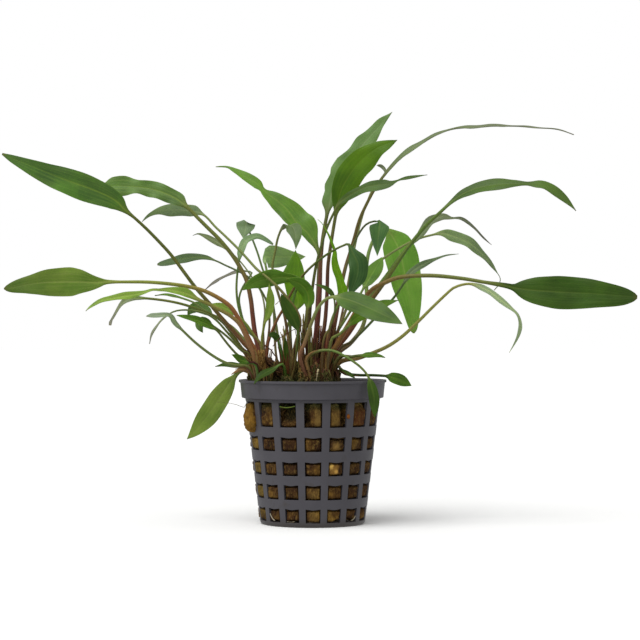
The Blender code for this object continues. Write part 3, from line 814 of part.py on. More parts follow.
def build_crown(name, collection, material):
    """A short domed rootstock: the upper half of a lumpy sphere, its flat underside just above the plug."""
    centre, radii = CROWNS[name]
    builder = bmesh.new()
    bmesh.ops.create_uvsphere(builder, u_segments=12, v_segments=6, radius=1.0)
    below = [vert for vert in builder.verts if vert.co.z < -0.01]
    bmesh.ops.delete(builder, geom=below, context="VERTS")
    close_ends(builder)
    for vert in builder.verts:
        angle = math.atan2(vert.co.y, vert.co.x)
        lump = 1.0 + CROWN_LUMP * math.sin(3 * angle + 5 * vert.co.z)
        vert.co = [(centre[i] + radii[i] * vert.co[i] * (lump if i < 2 else 1.0)) * MM for i in range(3)]
    return add_object(name, builder, collection, material)


def build_leaf(leaf, collection):
    material = make_material(leaf.name + "_skin", leaf.colour, 0.5)
    item = add_object(leaf.name, leaf_mesh(leaf), collection, material)
    item.data.shade_smooth()
    item.data.set_sharp_from_angle(angle=math.radians(50))
    return item


def main():
    clear_scene()
    plant = make_collection("potted_cryptocoryne")
    build_pot(plant)
    build_plug(plant)
    crown_material = make_material("crown_fibre", "crown", 0.9)
    for name in CROWNS:
        build_crown(name, plant, crown_material)
    for leaf in LEFT_LEAVES + MIDDLE_LEAVES + CENTRAL_LEAVES:
        build_leaf(leaf, plant)


main()
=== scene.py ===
"""Looks for a potted cryptocoryne: its net pot, rock wool, crowns, 55 leaves and loose roots.

Lengths are millimetres in the frame's own axes, and become metres where a mesh is made.
"""

import math
import random

import bmesh
import bpy
import numpy as np
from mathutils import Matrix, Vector, noise


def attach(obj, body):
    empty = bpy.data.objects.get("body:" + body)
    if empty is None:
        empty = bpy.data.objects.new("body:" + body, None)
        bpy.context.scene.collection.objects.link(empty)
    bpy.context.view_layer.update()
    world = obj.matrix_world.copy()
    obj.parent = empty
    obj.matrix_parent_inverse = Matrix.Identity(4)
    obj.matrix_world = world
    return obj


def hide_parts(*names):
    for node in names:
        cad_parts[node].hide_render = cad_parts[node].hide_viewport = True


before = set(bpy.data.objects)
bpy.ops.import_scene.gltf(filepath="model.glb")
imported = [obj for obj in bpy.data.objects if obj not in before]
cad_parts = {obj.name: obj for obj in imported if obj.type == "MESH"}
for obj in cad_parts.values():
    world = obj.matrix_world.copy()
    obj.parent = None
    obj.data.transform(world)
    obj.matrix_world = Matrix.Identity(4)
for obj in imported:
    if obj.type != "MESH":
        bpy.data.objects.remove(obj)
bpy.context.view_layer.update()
MM = 0.001


# Net pot: one thin injection moulding in grey polypropylene. Rows of square windows pierce its
# tapered wall, below a plain collar that steps out to the lip. It stands on a slotted floor.
POT_HEIGHT = 48.5
POT_WALL = 1.0
FOOT_RADIUS = 17.75
WALL_TOP_RADIUS = 22.8
COLLAR_Z = 42.2
EDGE_ROUNDING = 0.2
SHARP_TURN = 40

# The collar and lip as z and radius, the foot's rounding as inset and z, and the floor's rings as
# radius and whether slots cross the strip inside it
COLLAR_OUTLINE = ((COLLAR_Z + 0.35, 24.0), (45.0, 24.25), (47.5, 24.5), (47.75, 25.0), (POT_HEIGHT, 25.0))
FOOT_ROUNDING = ((0.5, 0.0), (0.1, 0.4))
FLOOR_RINGS = ((14.5, True), (7.0, False), (3.5, False), (0.4, False))

# The windows: bottom and top of each row, and how the mesh's upright lines are shared out
WINDOW_ROWS = ((1.4, 6.1), (9.1, 14.1), (17.1, 21.8), (25.2, 30.0), (33.2, 41.4))
WINDOW_COLUMNS = 16
WINDOW_TURN = 15.5
COLUMN_TURN = 360 / WINDOW_COLUMNS
FRONT_WINDOW = -89.3
WINDOW_STEPS = 6
BAR_STEPS = 3
WINDOW_SAG = 0.3


def linear(code):
    """An sRGB hex colour as linear red, green, blue and alpha."""
    parts = [int(code[i:i + 2], 16) / 255 for i in (1, 3, 5)]
    return [p / 12.92 if p <= 0.04045 else ((p + 0.055) / 1.055) ** 2.4 for p in parts] + [1.0]


def add_node(material, kind, settings, inputs):
    """Add a shader node, set its properties, and give each input a value or another node's output."""
    node = material.node_tree.nodes.new(kind)
    for name, value in settings.items():
        setattr(node, name, value)
    for name, value in inputs.items():
        if isinstance(value, bpy.types.NodeSocket):
            material.node_tree.links.new(value, node.inputs[name])
        else:
            node.inputs[name].default_value = value
    return node


def finish_surface(material, colour, roughness, height, depth_mm):
    """Link a colour, a roughness and a bump height, in millimetres, to the material's surface shader."""
    shader = material.node_tree.nodes["Principled BSDF"]
    bump = add_node(material, "ShaderNodeBump", {},
                    {"Distance": depth_mm * MM, "Strength": 1.0, "Height": height}).outputs["Normal"]
    for name, value in (("Base Color", colour), ("Roughness", roughness), ("Normal", bump)):
        material.node_tree.links.new(value, shader.inputs[name])
    return shader


def new_material(name):
    """A material that has only a plain surface shader so far."""
    material = bpy.data.materials.new(name)
    material.use_nodes = True
    return material


def per_mm(size):
    """Noise scale for spots of this size in millimetres, in a scene measured in metres."""
    return 1.0 / (size * MM)


def show_piece(name, mesh, materials, slot, *nodes):
    """Put a finished mesh in the scene as a piece that rides on the pot and stands for CAD nodes."""
    piece = bpy.data.objects.new(name, mesh)
    bpy.context.scene.collection.objects.link(piece)
    for material in materials:
        mesh.materials.append(material)
    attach(piece, "root")
    if nodes:
        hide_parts(*nodes)
    return piece


def wall_radius(z):
    """How far the tapered wall's outside is from the pot's axis at this height."""
    return FOOT_RADIUS + (WALL_TOP_RADIUS - FOOT_RADIUS) * z / COLLAR_Z


def on_circle(radius, turn, z):
    """A place this far from the pot's axis, this many degrees round it."""
    return radius * math.cos(math.radians(turn)), radius * math.sin(math.radians(turn)), z


def polypropylene():
    """Moulded polypropylene: an even grey, soft sheen, fine flow mottling, silt patches, darker at the foot.
    """
    material = new_material("moulded_grey_polypropylene")
    place = add_node(material, "ShaderNodeTexCoord", {}, {}).outputs["Object"]
    mottle = add_node(material, "ShaderNodeTexNoise", {},
                      {"Vector": place, "Scale": per_mm(9), "Detail": 4.0}).outputs[0]
    grain = add_node(material, "ShaderNodeTexNoise", {},
                     {"Vector": place, "Scale": per_mm(0.7), "Detail": 3.0}).outputs[0]
    silt = add_node(material, "ShaderNodeTexNoise", {},
                    {"Vector": place, "Scale": per_mm(3), "Detail": 6.0}).outputs[0]
    silt_share = add_node(material, "ShaderNodeMapRange", {},
                          {"Value": silt, "From Min": 0.60, "From Max": 0.80, "To Max": 0.45}).outputs[0]
    height = add_node(material, "ShaderNodeSeparateXYZ", {}, {"Vector": place}).outputs["Z"]
    # The lowest 3 mm turn darker and browner towards the floor
    foot_share = add_node(material, "ShaderNodeMapRange", {},
                          {"Value": height, "From Max": 3.0 * MM, "To Min": 0.75, "To Max": 0.0}).outputs[0]
    silt_and_foot_band = add_node(material, "ShaderNodeMath", {"operation": "MAXIMUM"},
                          {0: silt_share, 1: foot_share}).outputs[0]
    grey = add_node(material, "ShaderNodeMixRGB", {},
                    {"Fac": mottle, "Color1": linear("#46444a"), "Color2": linear("#59575d")}).outputs[0]
    patched_and_banded_grey = add_node(material, "ShaderNodeMixRGB", {},
                     {"Fac": silt_and_foot_band, "Color1": grey, "Color2": linear("#443c32")}).outputs[0]
    sheen = add_node(material, "ShaderNodeMapRange", {},
                     {"Value": grain, "To Min": 0.34, "To Max": 0.50}).outputs[0]
    finish_surface(material, patched_and_banded_grey, sheen, grain, 0.03)
    return material


def pot_columns():
    """Turns of the lattice's upright lines, in degrees, each with whether the strip after it is window."""
    columns = []
    for column in range(WINDOW_COLUMNS):
        middle = FRONT_WINDOW + column * COLUMN_TURN
        for step in range(WINDOW_STEPS):
            columns.append((middle + WINDOW_TURN * (step / WINDOW_STEPS - 0.5), True))
        for step in range(BAR_STEPS):
            columns.append((middle + WINDOW_TURN / 2 + (COLUMN_TURN - WINDOW_TURN) * step / BAR_STEPS, False))
    return columns


def pot_mesh():
    """The pot's outer surface with its openings left out, from the floor's middle out and up to the lip.

    Each ring is radius, z, whether slots cross the strip inside it, and the window row that starts at it.
    """
    columns = pot_columns()
    rings = [(radius, 0.0, slotted, None) for radius, slotted in reversed(FLOOR_RINGS)]
    rings += [(FOOT_RADIUS - inset, z, False, None) for inset, z in FOOT_ROUNDING]
    for row, (bottom, top) in enumerate(WINDOW_ROWS):
        rings += [(wall_radius(bottom), bottom, False, row), (wall_radius(top), top, False, None)]
    rings.append((WALL_TOP_RADIUS, COLLAR_Z, False, None))
    rings += [(radius, z, False, None) for z, radius in COLLAR_OUTLINE]
    builder = bmesh.new()
    lines = []
    for index, (radius, z, _, _) in enumerate(rings):
        line = []
        below_window = index > 0 and rings[index - 1][3] not in (None, len(WINDOW_ROWS) - 1)
        for number, (turn, window) in enumerate(columns):
            step = number % (WINDOW_STEPS + BAR_STEPS)
            share = step / WINDOW_STEPS if window else 0.0
            drop = WINDOW_SAG * math.sin(math.pi * share) ** 2 if below_window else 0.0
            line.append(builder.verts.new([MM * value for value in on_circle(radius, turn, z - drop)]))
        lines.append(line)
    count = len(columns)
    for index, (line, following) in enumerate(zip(lines, lines[1:])):
        for number, (_, window) in enumerate(columns):
            column = number // (WINDOW_STEPS + BAR_STEPS)
            slot = rings[index + 1][2] and column % 2 == 0
            if window and (slot or rings[index][3] is not None):
                continue
            after = (number + 1) % count
            builder.faces.new((line[number], line[after], following[after], following[number]))
    builder.faces.new(list(reversed(lines[0])))
    mesh = bpy.data.meshes.new("net_pot_moulding")
    builder.to_mesh(mesh)
    builder.free()
    return mesh


pot = show_piece("net_pot_moulding", pot_mesh(), [polypropylene()], "pot_plastic", "net_pot")
wall = pot.modifiers.new("Wall", "SOLIDIFY")
wall.thickness = POT_WALL * MM
wall.offset = -1.0
wall.use_even_offset = True
rounding = pot.modifiers.new("Moulded edges", "BEVEL")
rounding.width = EDGE_ROUNDING * MM
rounding.segments = 2
rounding.limit_method = "ANGLE"
rounding.angle_limit = math.radians(SHARP_TURN)
rounding.harden_normals = True
pot.data.shade_smooth()


# Plug: a block of rock wool, spun mineral fibre, that the young plant was rooted in. It is pressed
# into the pot wet, stained brown and green by age, and squeezes out of one top window as a lump.
PLUG_CLEARANCE = 0.35
PLUG_FOOT_Z = 2.2
PLUG_FOOT_RADIUS = 18.0
PLUG_EDGE_Z = 43.2
PLUG_CROWN_Z = 45.0
PLUG_SIDES = 400
PLUG_ROWS = 110
TOP_RINGS = 40

# Clods on the block's side, its foot and its top: size, seed and height. In a window they are pressed
# flatter, and no hollow goes deeper than the last number
SIDE_CLODS = ((5.0, 3.1, 2.4), (1.4, 7.7, 0.9))
FOOT_CLODS = ((6.0, 2.2, 1.3),)
TOP_CLODS = ((4.5, 5.9, 1.0), (1.1, 1.7, 0.5))
PRESSED_FLAT = 0.72
BROKEN_EDGE = 1.2
DEEPEST_HOLLOW = 6.0

# How the wet block swells into the windows: clear of the bars by a margin, then up a ramp, each given
# in degrees and in height, and a little past the pot's wall at the left
SWELL_MARGIN_TURN = 0.35
SWELL_RAMP_TURN = 1.2
SWELL_MARGIN = 0.2
SWELL_RAMP = 0.6
SWOLLEN_SIDE = 0.3
SWOLLEN_TURN = FRONT_WINDOW - 78.0

# Where the block isn't plain behind the windows: a hollow that crumbled out, two clumps of clean
# fibre with gaps beside them, a mat of rusty roots, dark stains that ran down, paler ground low in
# front and at the left, pale tufts and the mossy edge. The hollow and the two gaps are painted
# near-black: painted shade. In each row: turn from the front window, z, reach to each side in
# degrees and up and down, push out, colour and share
PLUG_FEATURES = (
    (-22.5, 38.4, 9.0, 3.4, -4.5, "#1d2216", 0.9),
    (4.4, 36.4, 3.6, 2.8, 1.3, "#a08244", 0.48),
    (-6.0, 37.5, 3.2, 4.0, -3.0, "#1c160c", 0.8),
    (19.4, 36.4, 4.0, 3.0, 1.0, "#8c7034", 0.45),
    (28.0, 38.0, 3.0, 4.0, -2.6, "#1c180c", 0.8),
    (45.0, 36.5, 8.0, 4.4, 0.4, "#6e3c16", 0.5),
    (-22.5, 19.0, 8.0, 12.0, 0.0, "#351f10", 0.68),
    (45.0, 20.0, 8.0, 11.0, 0.0, "#3a2412", 0.6),
    (1.0, 7.0, 6.0, 6.0, 0.2, "#8c7038", 0.45),
    (-66.0, 17.0, 12.0, 14.0, 0.0, "#8f7a38", 0.5),
    (22.0, 26.6, 4.0, 1.8, 0.2, "#a88446", 0.6),
    (20.5, 19.4, 4.6, 2.0, 0.5, "#b98a40", 0.6),
    (17.6, 20.4, 1.8, 0.9, 0.5, "#f0c868", 0.8),
    (22.5, 18.6, 1.6, 0.8, 0.4, "#e8b860", 0.7),
    (0.0, 41.6, 60.0, 2.2, -1.6, "#28300f", 0.75))
FEATURE_FRAYING = 0.35


def rough(place, size, seed):
    """Signed fractal noise with features of this size in millimetres."""
    return noise.fractal(Vector(place) / size + Vector((seed, 2.3 * seed, -seed)), 0.8, 2.1, 5)


def clods(place, sizes, fold=float):
    """The height of the clods of these sizes at a place. Fold abs makes them all stand the same way."""
    return sum(height * fold(rough(place, size, seed)) for size, seed, height in sizes)


def closed_skin(columns, rings):
    """Quads between rings of vertices that follow on from each other, and one face over each end."""
    faces = []
    for low in range(0, (rings - 1) * columns, columns):
        for number in range(columns):
            after = (number + 1) % columns
            faces.append((low + number, low + after, low + columns + after, low + columns + number))
    faces.append(tuple(range(columns - 1, -1, -1)))
    faces.append(tuple(range((rings - 1) * columns, rings * columns)))
    return faces


def tube(points, radii, sides):
    """A closed round tube along a path, as (verts, faces). Its ends taper to the last radii."""
    points = np.array(points, float)
    tangents = np.gradient(points, axis=0)
    tangents /= np.linalg.norm(tangents, axis=1)[:, None]
    across = np.cross(tangents[0], (0.31, 0.52, 0.79))
    verts = []
    for point, tangent, radius in zip(points, tangents, radii):
        across = across - tangent * across.dot(tangent)
        across /= np.linalg.norm(across)
        upward = np.cross(tangent, across)
        for side in range(sides):
            turn = 2 * math.pi * side / sides
            verts.append(tuple(point + radius * (across * math.cos(turn) + upward * math.sin(turn))))
    return verts, closed_skin(sides, len(points))


def tapered(thick, loss, points):
    """Radii for a tube that loses nearly this share of its thickness along its points."""
    return [thick * (1 - loss * step / points) for step in range(points)]


def plug_feature(turn, z):
    """How far the features push the block's skin out here, and the colour and share that they lay on it."""
    push, colour, share = 0.0, np.zeros(3), 0.0
    for middle, level, turn_reach, z_reach, depth, code, most in PLUG_FEATURES:
        aside = (turn - FRONT_WINDOW - middle + 180) % 360 - 180
        ragged = FEATURE_FRAYING * rough((0.35 * turn, z, middle), 1.6, 2.6)
        near = math.exp(-(aside / turn_reach + ragged) ** 4 - ((z - level) / z_reach - ragged) ** 4)
        push += depth * near
        colour = colour + near * most * np.array(linear(code)[:3])
        share += near * most
    return push, colour / max(share, 1e-6), min(share, 1.0)


def window_fill(turn, z):
    """One where the wet block swells into a window, falling to nothing just clear of the bars round it."""
    aside = abs((turn - FRONT_WINDOW + COLUMN_TURN / 2) % COLUMN_TURN - COLUMN_TURN / 2)
    across = min(max((WINDOW_TURN / 2 - SWELL_MARGIN_TURN - aside) / SWELL_RAMP_TURN, 0.0), 1.0)
    height = max(min(z - bottom, top - WINDOW_SAG - z) - SWELL_MARGIN for bottom, top in WINDOW_ROWS)
    upward = min(max(height / SWELL_RAMP, 0.0), 1.0)
    return math.sin(math.pi / 2 * across) * math.sin(math.pi / 2 * upward)


def plug_mesh():
    """A crumbly skin that follows the pot's wall, then closes over the top with clods and hollows."""
    verts = []
    for row in range(PLUG_ROWS):
        for side in range(PLUG_SIDES):
            turn = 360 * side / PLUG_SIDES
            foot = PLUG_FOOT_Z + clods(on_circle(PLUG_FOOT_RADIUS, turn, 0), FOOT_CLODS)
            z = foot + (PLUG_EDGE_Z - foot) * row / (PLUG_ROWS - 1)
            limit = wall_radius(z) - POT_WALL - PLUG_CLEARANCE
            fill = window_fill(turn, z)
            dent = clods(on_circle(limit, turn, z), SIDE_CLODS, abs) * (1.0 - PRESSED_FLAT * fill)
            dent -= plug_feature(turn, z)[0]
            past = SWOLLEN_SIDE * max(0.0, math.cos(math.radians(turn - SWOLLEN_TURN))) ** 8
            radius = limit - min(max(dent, 0.0), DEEPEST_HOLLOW) + (POT_WALL + PLUG_CLEARANCE + past) * fill
            radius -= BROKEN_EDGE if row in (0, PLUG_ROWS - 1) else 0.0
            verts.append(on_circle(radius, turn, z))
    edge = wall_radius(PLUG_EDGE_Z) - POT_WALL - PLUG_CLEARANCE - BROKEN_EDGE
    for ring in range(1, TOP_RINGS):
        share = 1.0 - ring / TOP_RINGS
        for side in range(PLUG_SIDES):
            x, y, z = on_circle(edge * share, 360 * side / PLUG_SIDES, PLUG_EDGE_Z)
            rise = (PLUG_CROWN_Z - PLUG_EDGE_Z) * (1 - share ** 2)
            verts.append((x, y, z + rise + clods((x, y, z), TOP_CLODS)))
    return verts, closed_skin(PLUG_SIDES, PLUG_ROWS + TOP_RINGS - 1)


# The lump bulges through the top window at the pot's left and sags over the bar below it
LUMP_TURN = FRONT_WINDOW - 3 * COLUMN_TURN
LUMP_MIDDLE_Z = 36.0
LUMP_HALF_HEIGHT = 4.9
LUMP_REACH_OUT = 3.4
LUMP_REACH_ASIDE = 3.0
LUMP_NARROWING = 0.42
LUMP_CLODS = ((3.0, 4.4, 0.16), (0.9, 8.2, 0.10))
LUMP_RINGS = 26
LUMP_SIDES = 40


def lump_mesh():
    """A pear-shaped clod: narrow in the window's upper half, wide and heavy over the bar."""
    outward = Vector(on_circle(1.0, LUMP_TURN, 0))
    sideways = Vector((-outward.y, outward.x, 0))
    verts = []
    for ring in range(LUMP_RINGS):
        tilt = math.pi * (ring + 0.5) / LUMP_RINGS
        z = LUMP_MIDDLE_Z - LUMP_HALF_HEIGHT * math.cos(tilt)
        height = (z - LUMP_MIDDLE_Z + LUMP_HALF_HEIGHT) / (2 * LUMP_HALF_HEIGHT)
        fullness = math.sin(tilt) ** 0.7 * (1.0 - LUMP_NARROWING * height)
        middle = outward * (wall_radius(z) + 0.1)
        for side in range(LUMP_SIDES):
            turn = 2 * math.pi * side / LUMP_SIDES
            reach = outward * (LUMP_REACH_OUT * fullness * math.cos(turn))
            reach += sideways * (LUMP_REACH_ASIDE * fullness * math.sin(turn))
            swell = 1.0 + clods(middle + reach + Vector((0, 0, z)), LUMP_CLODS)
            verts.append((middle + reach * swell + Vector((0, 0, z)))[:])
    return verts, closed_skin(LUMP_SIDES, LUMP_RINGS)


# Rootlets: fine roots of the plant that run down in the block's skin and show where it is hollow
ROOTLETS = 170
ROOTLET_POINTS = 14
ROOTLET_THICKNESS = (0.09, 0.24)
ROOTLET_COLOURS = ("#7a5a30", "#a98e5a", "#54381c", "#8c6a36")


def rootlets():
    """Fine roots in the block's skin, most of them running down, a few across."""
    chance = random.Random(31)
    parts = []
    for _ in range(ROOTLETS):
        turn = chance.uniform(-180, 180)
        z = chance.uniform(6, 42)
        across = chance.choice((-1, 1)) * chance.uniform(25, 40)
        drift = chance.uniform(-9, 9) if chance.random() < 0.75 else across
        fall = chance.uniform(4, 15) if abs(drift) < 10 else chance.uniform(-1, 3)
        bend = chance.uniform(-4, 4)
        points = []
        for step in range(ROOTLET_POINTS):
            share = step / (ROOTLET_POINTS - 1)
            level = max(3.0, z - fall * share)
            way = turn + drift * share + bend * math.sin(2.6 * math.pi * share)
            dent = max(0.0, -plug_feature(way, level)[0]) * 0.7
            dip = 0.35 + 0.3 * math.sin(9 * share + z) ** 2 + dent
            radius = wall_radius(level) - POT_WALL - PLUG_CLEARANCE - dip
            points.append(on_circle(radius, way, level))
        parts.append(tube(points, tapered(chance.uniform(*ROOTLET_THICKNESS), 0.6, ROOTLET_POINTS), 5))
    return parts


def set_stops(ramp, stops):
    """Give a colour ramp these stops in place of its own two, each a place and a colour."""
    elements = ramp.color_ramp.elements
    for position, code in stops:
        elements.new(position).color = linear(code)
    elements.remove(elements[0])
    elements.remove(elements[-1])


def laid_over(material, ground):
    """The colour that the mesh stores for each point, laid over this one by the share stored with it."""
    colour = add_node(material, "ShaderNodeAttribute", {"attribute_name": "laid_colour"}, {}).outputs["Color"]
    share = add_node(material, "ShaderNodeAttribute", {"attribute_name": "laid_share"}, {}).outputs["Fac"]
    return add_node(material, "ShaderNodeMixRGB", {},
                    {"Fac": share, "Color1": ground, "Color2": colour}).outputs[0]


def rock_wool():
    """Wet rock wool: matt felted fibre, tan where clean, umber where stained, green with moss on top."""
    material = new_material("stained_rock_wool")
    place = add_node(material, "ShaderNodeTexCoord", {}, {}).outputs["Object"]
    height = add_node(material, "ShaderNodeSeparateXYZ", {}, {"Vector": place}).outputs["Z"]
    stain = add_node(material, "ShaderNodeTexNoise", {},
                     {"Vector": place, "Scale": per_mm(6.5), "Detail": 6.0, "Roughness": 0.62})
    speck = add_node(material, "ShaderNodeTexNoise", {},
                     {"Vector": place, "Scale": per_mm(1.3), "Detail": 4.0})
    drawn_down = add_node(material, "ShaderNodeMapping", {}, {"Vector": place, "Scale": (1.0, 1.0, 0.3)})
    fibre = add_node(material, "ShaderNodeTexNoise", {},
                     {"Vector": drawn_down.outputs["Vector"], "Scale": per_mm(0.7), "Detail": 5.0,
                      "Distortion": 1.5})
    ramp = add_node(material, "ShaderNodeValToRGB", {}, {"Fac": stain.outputs["Fac"]})
    set_stops(ramp, ((0.33, "#20120a"), (0.45, "#402610"), (0.56, "#5f421a"), (0.68, "#8e6c2c")))

    # The stored colours are those of the stains, clumps and roots, and the painted shade in the hollow and
    # gaps
    stained = laid_over(material, ramp.outputs["Color"])
    fleck_share = add_node(material, "ShaderNodeMapRange", {},
                           {"Value": speck.outputs["Fac"], "From Min": 0.48, "From Max": 0.66,
                            "To Max": 0.4})
    flecked = add_node(material, "ShaderNodeMixRGB", {},
                       {"Fac": fleck_share.outputs["Result"], "Color1": stained,
                        "Color2": linear("#2c1b0d")}).outputs[0]
    strand_share = add_node(material, "ShaderNodeMapRange", {},
                            {"Value": fibre.outputs["Fac"], "From Min": 0.50, "From Max": 0.68,
                             "To Max": 0.3})
    stranded = add_node(material, "ShaderNodeMixRGB", {},
                        {"Fac": strand_share.outputs["Result"], "Color1": flecked,
                         "Color2": linear("#b3924c")}).outputs[0]
    moss_height = add_node(material, "ShaderNodeMapRange", {},
                           {"Value": height, "From Min": 38 * MM, "From Max": 44 * MM})
    moss_share = add_node(material, "ShaderNodeMath", {"operation": "MULTIPLY"},
                          {0: moss_height.outputs["Result"], 1: speck.outputs["Fac"]})
    mossy = add_node(material, "ShaderNodeMixRGB", {},
                     {"Fac": moss_share.outputs["Value"], "Color1": stranded, "Color2": linear("#3e4a1c")})
    dull = add_node(material, "ShaderNodeMapRange", {},
                    {"Value": speck.outputs["Fac"], "To Min": 0.62, "To Max": 0.95})
    shader = finish_surface(material, mossy.outputs["Color"], dull.outputs["Result"], fibre.outputs["Fac"],
                            0.35)
    shader.inputs["Specular IOR Level"].default_value = 0.15
    return material


def solid_mesh(name, parts):
    """One smooth mesh from (verts in millimetres, faces) parts."""
    verts, faces = [], []
    for part_verts, part_faces in parts:
        start = len(verts)
        verts += part_verts
        faces += [tuple(start + index for index in face) for face in part_faces]
    mesh = bpy.data.meshes.new(name)
    mesh.from_pydata([(x * MM, y * MM, z * MM) for x, y, z in verts], [], faces)
    builder = bmesh.new()
    builder.from_mesh(mesh)
    bmesh.ops.recalc_face_normals(builder, faces=builder.faces)
    builder.to_mesh(mesh)
    builder.free()
    mesh.shade_smooth()
    return mesh


def store_numbers(mesh, label, values):
    """Store one number for each point of a mesh, for its material to read by this label."""
    mesh.attributes.new(label, "FLOAT", "POINT").data.foreach_set("value", values)


def store_colours(mesh, label, values):
    """Store one colour for each point of a mesh in the same way, as one list of linear values."""
    mesh.attributes.new(label, "FLOAT_COLOR", "POINT").data.foreach_set("color", values)


def lay_colours(mesh, colours, shares):
    """Store a colour for each point of a mesh, and how much of the material's own colour it covers there."""
    store_colours(mesh, "laid_colour", colours)
    store_numbers(mesh, "laid_share", shares)


# Single roots that show in the windows: a green one that sags across a top window and pale tips near
# the foot. In each row: turn from the front window and z of both ends, sag, thickness and colour.
# A rusty crumb also sticks to the wall, right of the front window. The shares say how much of the
# wool's own colour the lump, the rootlets, the roots and the crumb cover
WINDOW_ROOTS = (
    (-30.5, 40.3, -14.5, 40.5, 0.5, 0.18, "#6c8838"),
    (-51.0, 4.2, -45.0, 2.0, 0.3, 0.17, "#b5ad98"),
    (-30.0, 1.9, -20.0, 2.0, 0.2, 0.14, "#a59c86"),
    (45.0, 2.0, 51.0, 3.4, 0.3, 0.16, "#a59c86"))
CRUMB = ((31.4, 36.2, 0.35), (31.2, 36.9, 0.62), (31.0, 37.6, 0.3))
CRUMB_COLOUR = "#96561e"
LUMP_COLOUR = "#a87c2c"
LUMP_SHARE = 0.55
LUMP_SHARE_SWING = 0.35
ROOTLET_SHARE = 0.8
WINDOW_ROOT_SHARE = 0.95


def outside_place(turn, z, out):
    """A place this far round from the front window and this far out from the pot's wall."""
    return on_circle(wall_radius(z) + out, FRONT_WINDOW + turn, z)


def window_roots():
    """The single roots: each comes out of the block at one side of a window and goes in at the other."""
    parts = []
    for start, start_z, end, end_z, sag, thick, _ in WINDOW_ROOTS:
        points = []
        for share in np.linspace(0, 1, 24):
            turn = start + (end - start) * share
            z = start_z + (end_z - start_z) * share - sag * math.sin(math.pi * share)
            out = (POT_WALL + PLUG_CLEARANCE + 0.1) * (window_fill(FRONT_WINDOW + turn, z) - 1) + 0.1
            points.append(outside_place(turn, z, out))
        parts.append(tube(points, [thick] * len(points), 6))
    crumb = [outside_place(turn, z, 0.3) for turn, z, _ in CRUMB]
    return parts + [tube(crumb, [thick for _, _, thick in CRUMB], 9)]


wool = rock_wool()
block = [plug_mesh(), lump_mesh()]
roots = rootlets()
singles = window_roots()
wool_mesh = solid_mesh("rock_wool_block", block + roots + singles)
wool_colours, wool_shares = [], []
for x, y, z in block[0][0]:
    _, laid_colour, laid_share = plug_feature(math.degrees(math.atan2(y, x)), z)
    wool_colours.extend([*laid_colour, 1.0])
    wool_shares.append(laid_share)
wool_colours.extend(linear(LUMP_COLOUR) * len(block[1][0]))
wool_shares.extend([LUMP_SHARE + LUMP_SHARE_SWING * rough(place, 2.0, 6.1) for place in block[1][0]])
for number, (root_verts, _) in enumerate(roots):
    wool_colours.extend(linear(ROOTLET_COLOURS[number % len(ROOTLET_COLOURS)]) * len(root_verts))
    wool_shares.extend([ROOTLET_SHARE] * len(root_verts))
for (single_verts, _), code in zip(singles, [row[-1] for row in WINDOW_ROOTS] + [CRUMB_COLOUR]):
    wool_colours.extend(linear(code) * len(single_verts))
    wool_shares.extend([WINDOW_ROOT_SHARE] * len(single_verts))
lay_colours(wool_mesh, wool_colours, wool_shares)
show_piece("rock_wool_block", wool_mesh, [wool], "rock_wool", "rock_wool_plug")


# Crowns: three short rootstocks that grow up out of the rock wool. Each is a brown knot of old stalk
# bases and root fibre, and every leaf stalk grows from the heart of one of them.
LEFT_CROWN = (-17.2, -3.2, 45.6)
MIDDLE_CROWN = (-8.8, -1.8, 45.6)
CENTRAL_CROWN = (2.4, -0.8, 45.6)
HEART_Z = 46.5
CROWN_RINGS = 40
CROWN_SIDES = 72
FURROWS = 9
FURROW_DEPTH = 0.10
LUMP_DEPTH = 0.12
FIBRE_POINTS = 9
FIBRE_SIDES = 6
FIBRE_THICKNESS = (0.12, 0.42)
SHEATH_RINGS = 9
SHEATH_SIDES = 10
SHEATH_HEIGHT = (4.0, 8.5)
SHEATH_HALF_WIDTH = (0.45, 1.05)
SHEATH_THICKNESS = 0.16
SHEATH_HUG = 0.35


def crown_core(centre, radii):
    """The knot itself: a dome, furrowed from foot to top by the stalk bases that it is made of."""
    verts = []
    for ring in range(CROWN_RINGS):
        rise = (math.pi / 2) * ring / CROWN_RINGS
        for side in range(CROWN_SIDES):
            turn = 2 * math.pi * side / CROWN_SIDES
            furrow = FURROW_DEPTH * math.sin(FURROWS * turn + 2.0 * math.sin(3 * rise))
            lumps = LUMP_DEPTH * rough((5 * math.cos(turn), 5 * math.sin(turn), 6 * rise), 3.0, centre[0])
            reach = math.cos(rise) ** 0.7 * 0.98 * (1 + furrow + lumps)
            verts.append((centre[0] + radii[0] * reach * math.cos(turn),
                          centre[1] + radii[1] * reach * math.sin(turn),
                          centre[2] - 1.5 + (radii[2] + 1.0) * math.sin(rise)))
    return verts, closed_skin(CROWN_SIDES, CROWN_RINGS)


def crown_fibres(centre, radii, count, seed):
    """Old sheath fibres and rootlets that lie up the sides of the knot and curl away at their ends."""
    chance = random.Random(seed)
    parts = []
    for _ in range(count):
        turn = chance.uniform(0, 2 * math.pi)
        reach = chance.uniform(0.8, 1.0 + 0.8 / radii[0])
        top = chance.uniform(0.35, 1.05)
        lean = chance.uniform(-0.5, 0.5)
        curl = chance.uniform(-1.5, 1.5)
        points = []
        for share in np.linspace(0, 1, FIBRE_POINTS):
            rise = share * top * math.pi / 2
            width = reach * math.cos(rise * 0.86) + 0.05 * math.sin(7 * share + curl)
            height = (radii[2] + 1.5) * math.sin(rise) + 0.4 * math.sin(5 * share * curl)
            points.append((centre[0] + radii[0] * width * math.cos(turn + lean * share),
                           centre[1] + radii[1] * width * math.sin(turn + lean * share),
                           centre[2] - 2.0 + height))
        radii_along = np.linspace(1.0, 0.3, FIBRE_POINTS) * chance.uniform(*FIBRE_THICKNESS)
        parts.append(tube(points, radii_along, FIBRE_SIDES))
    return parts


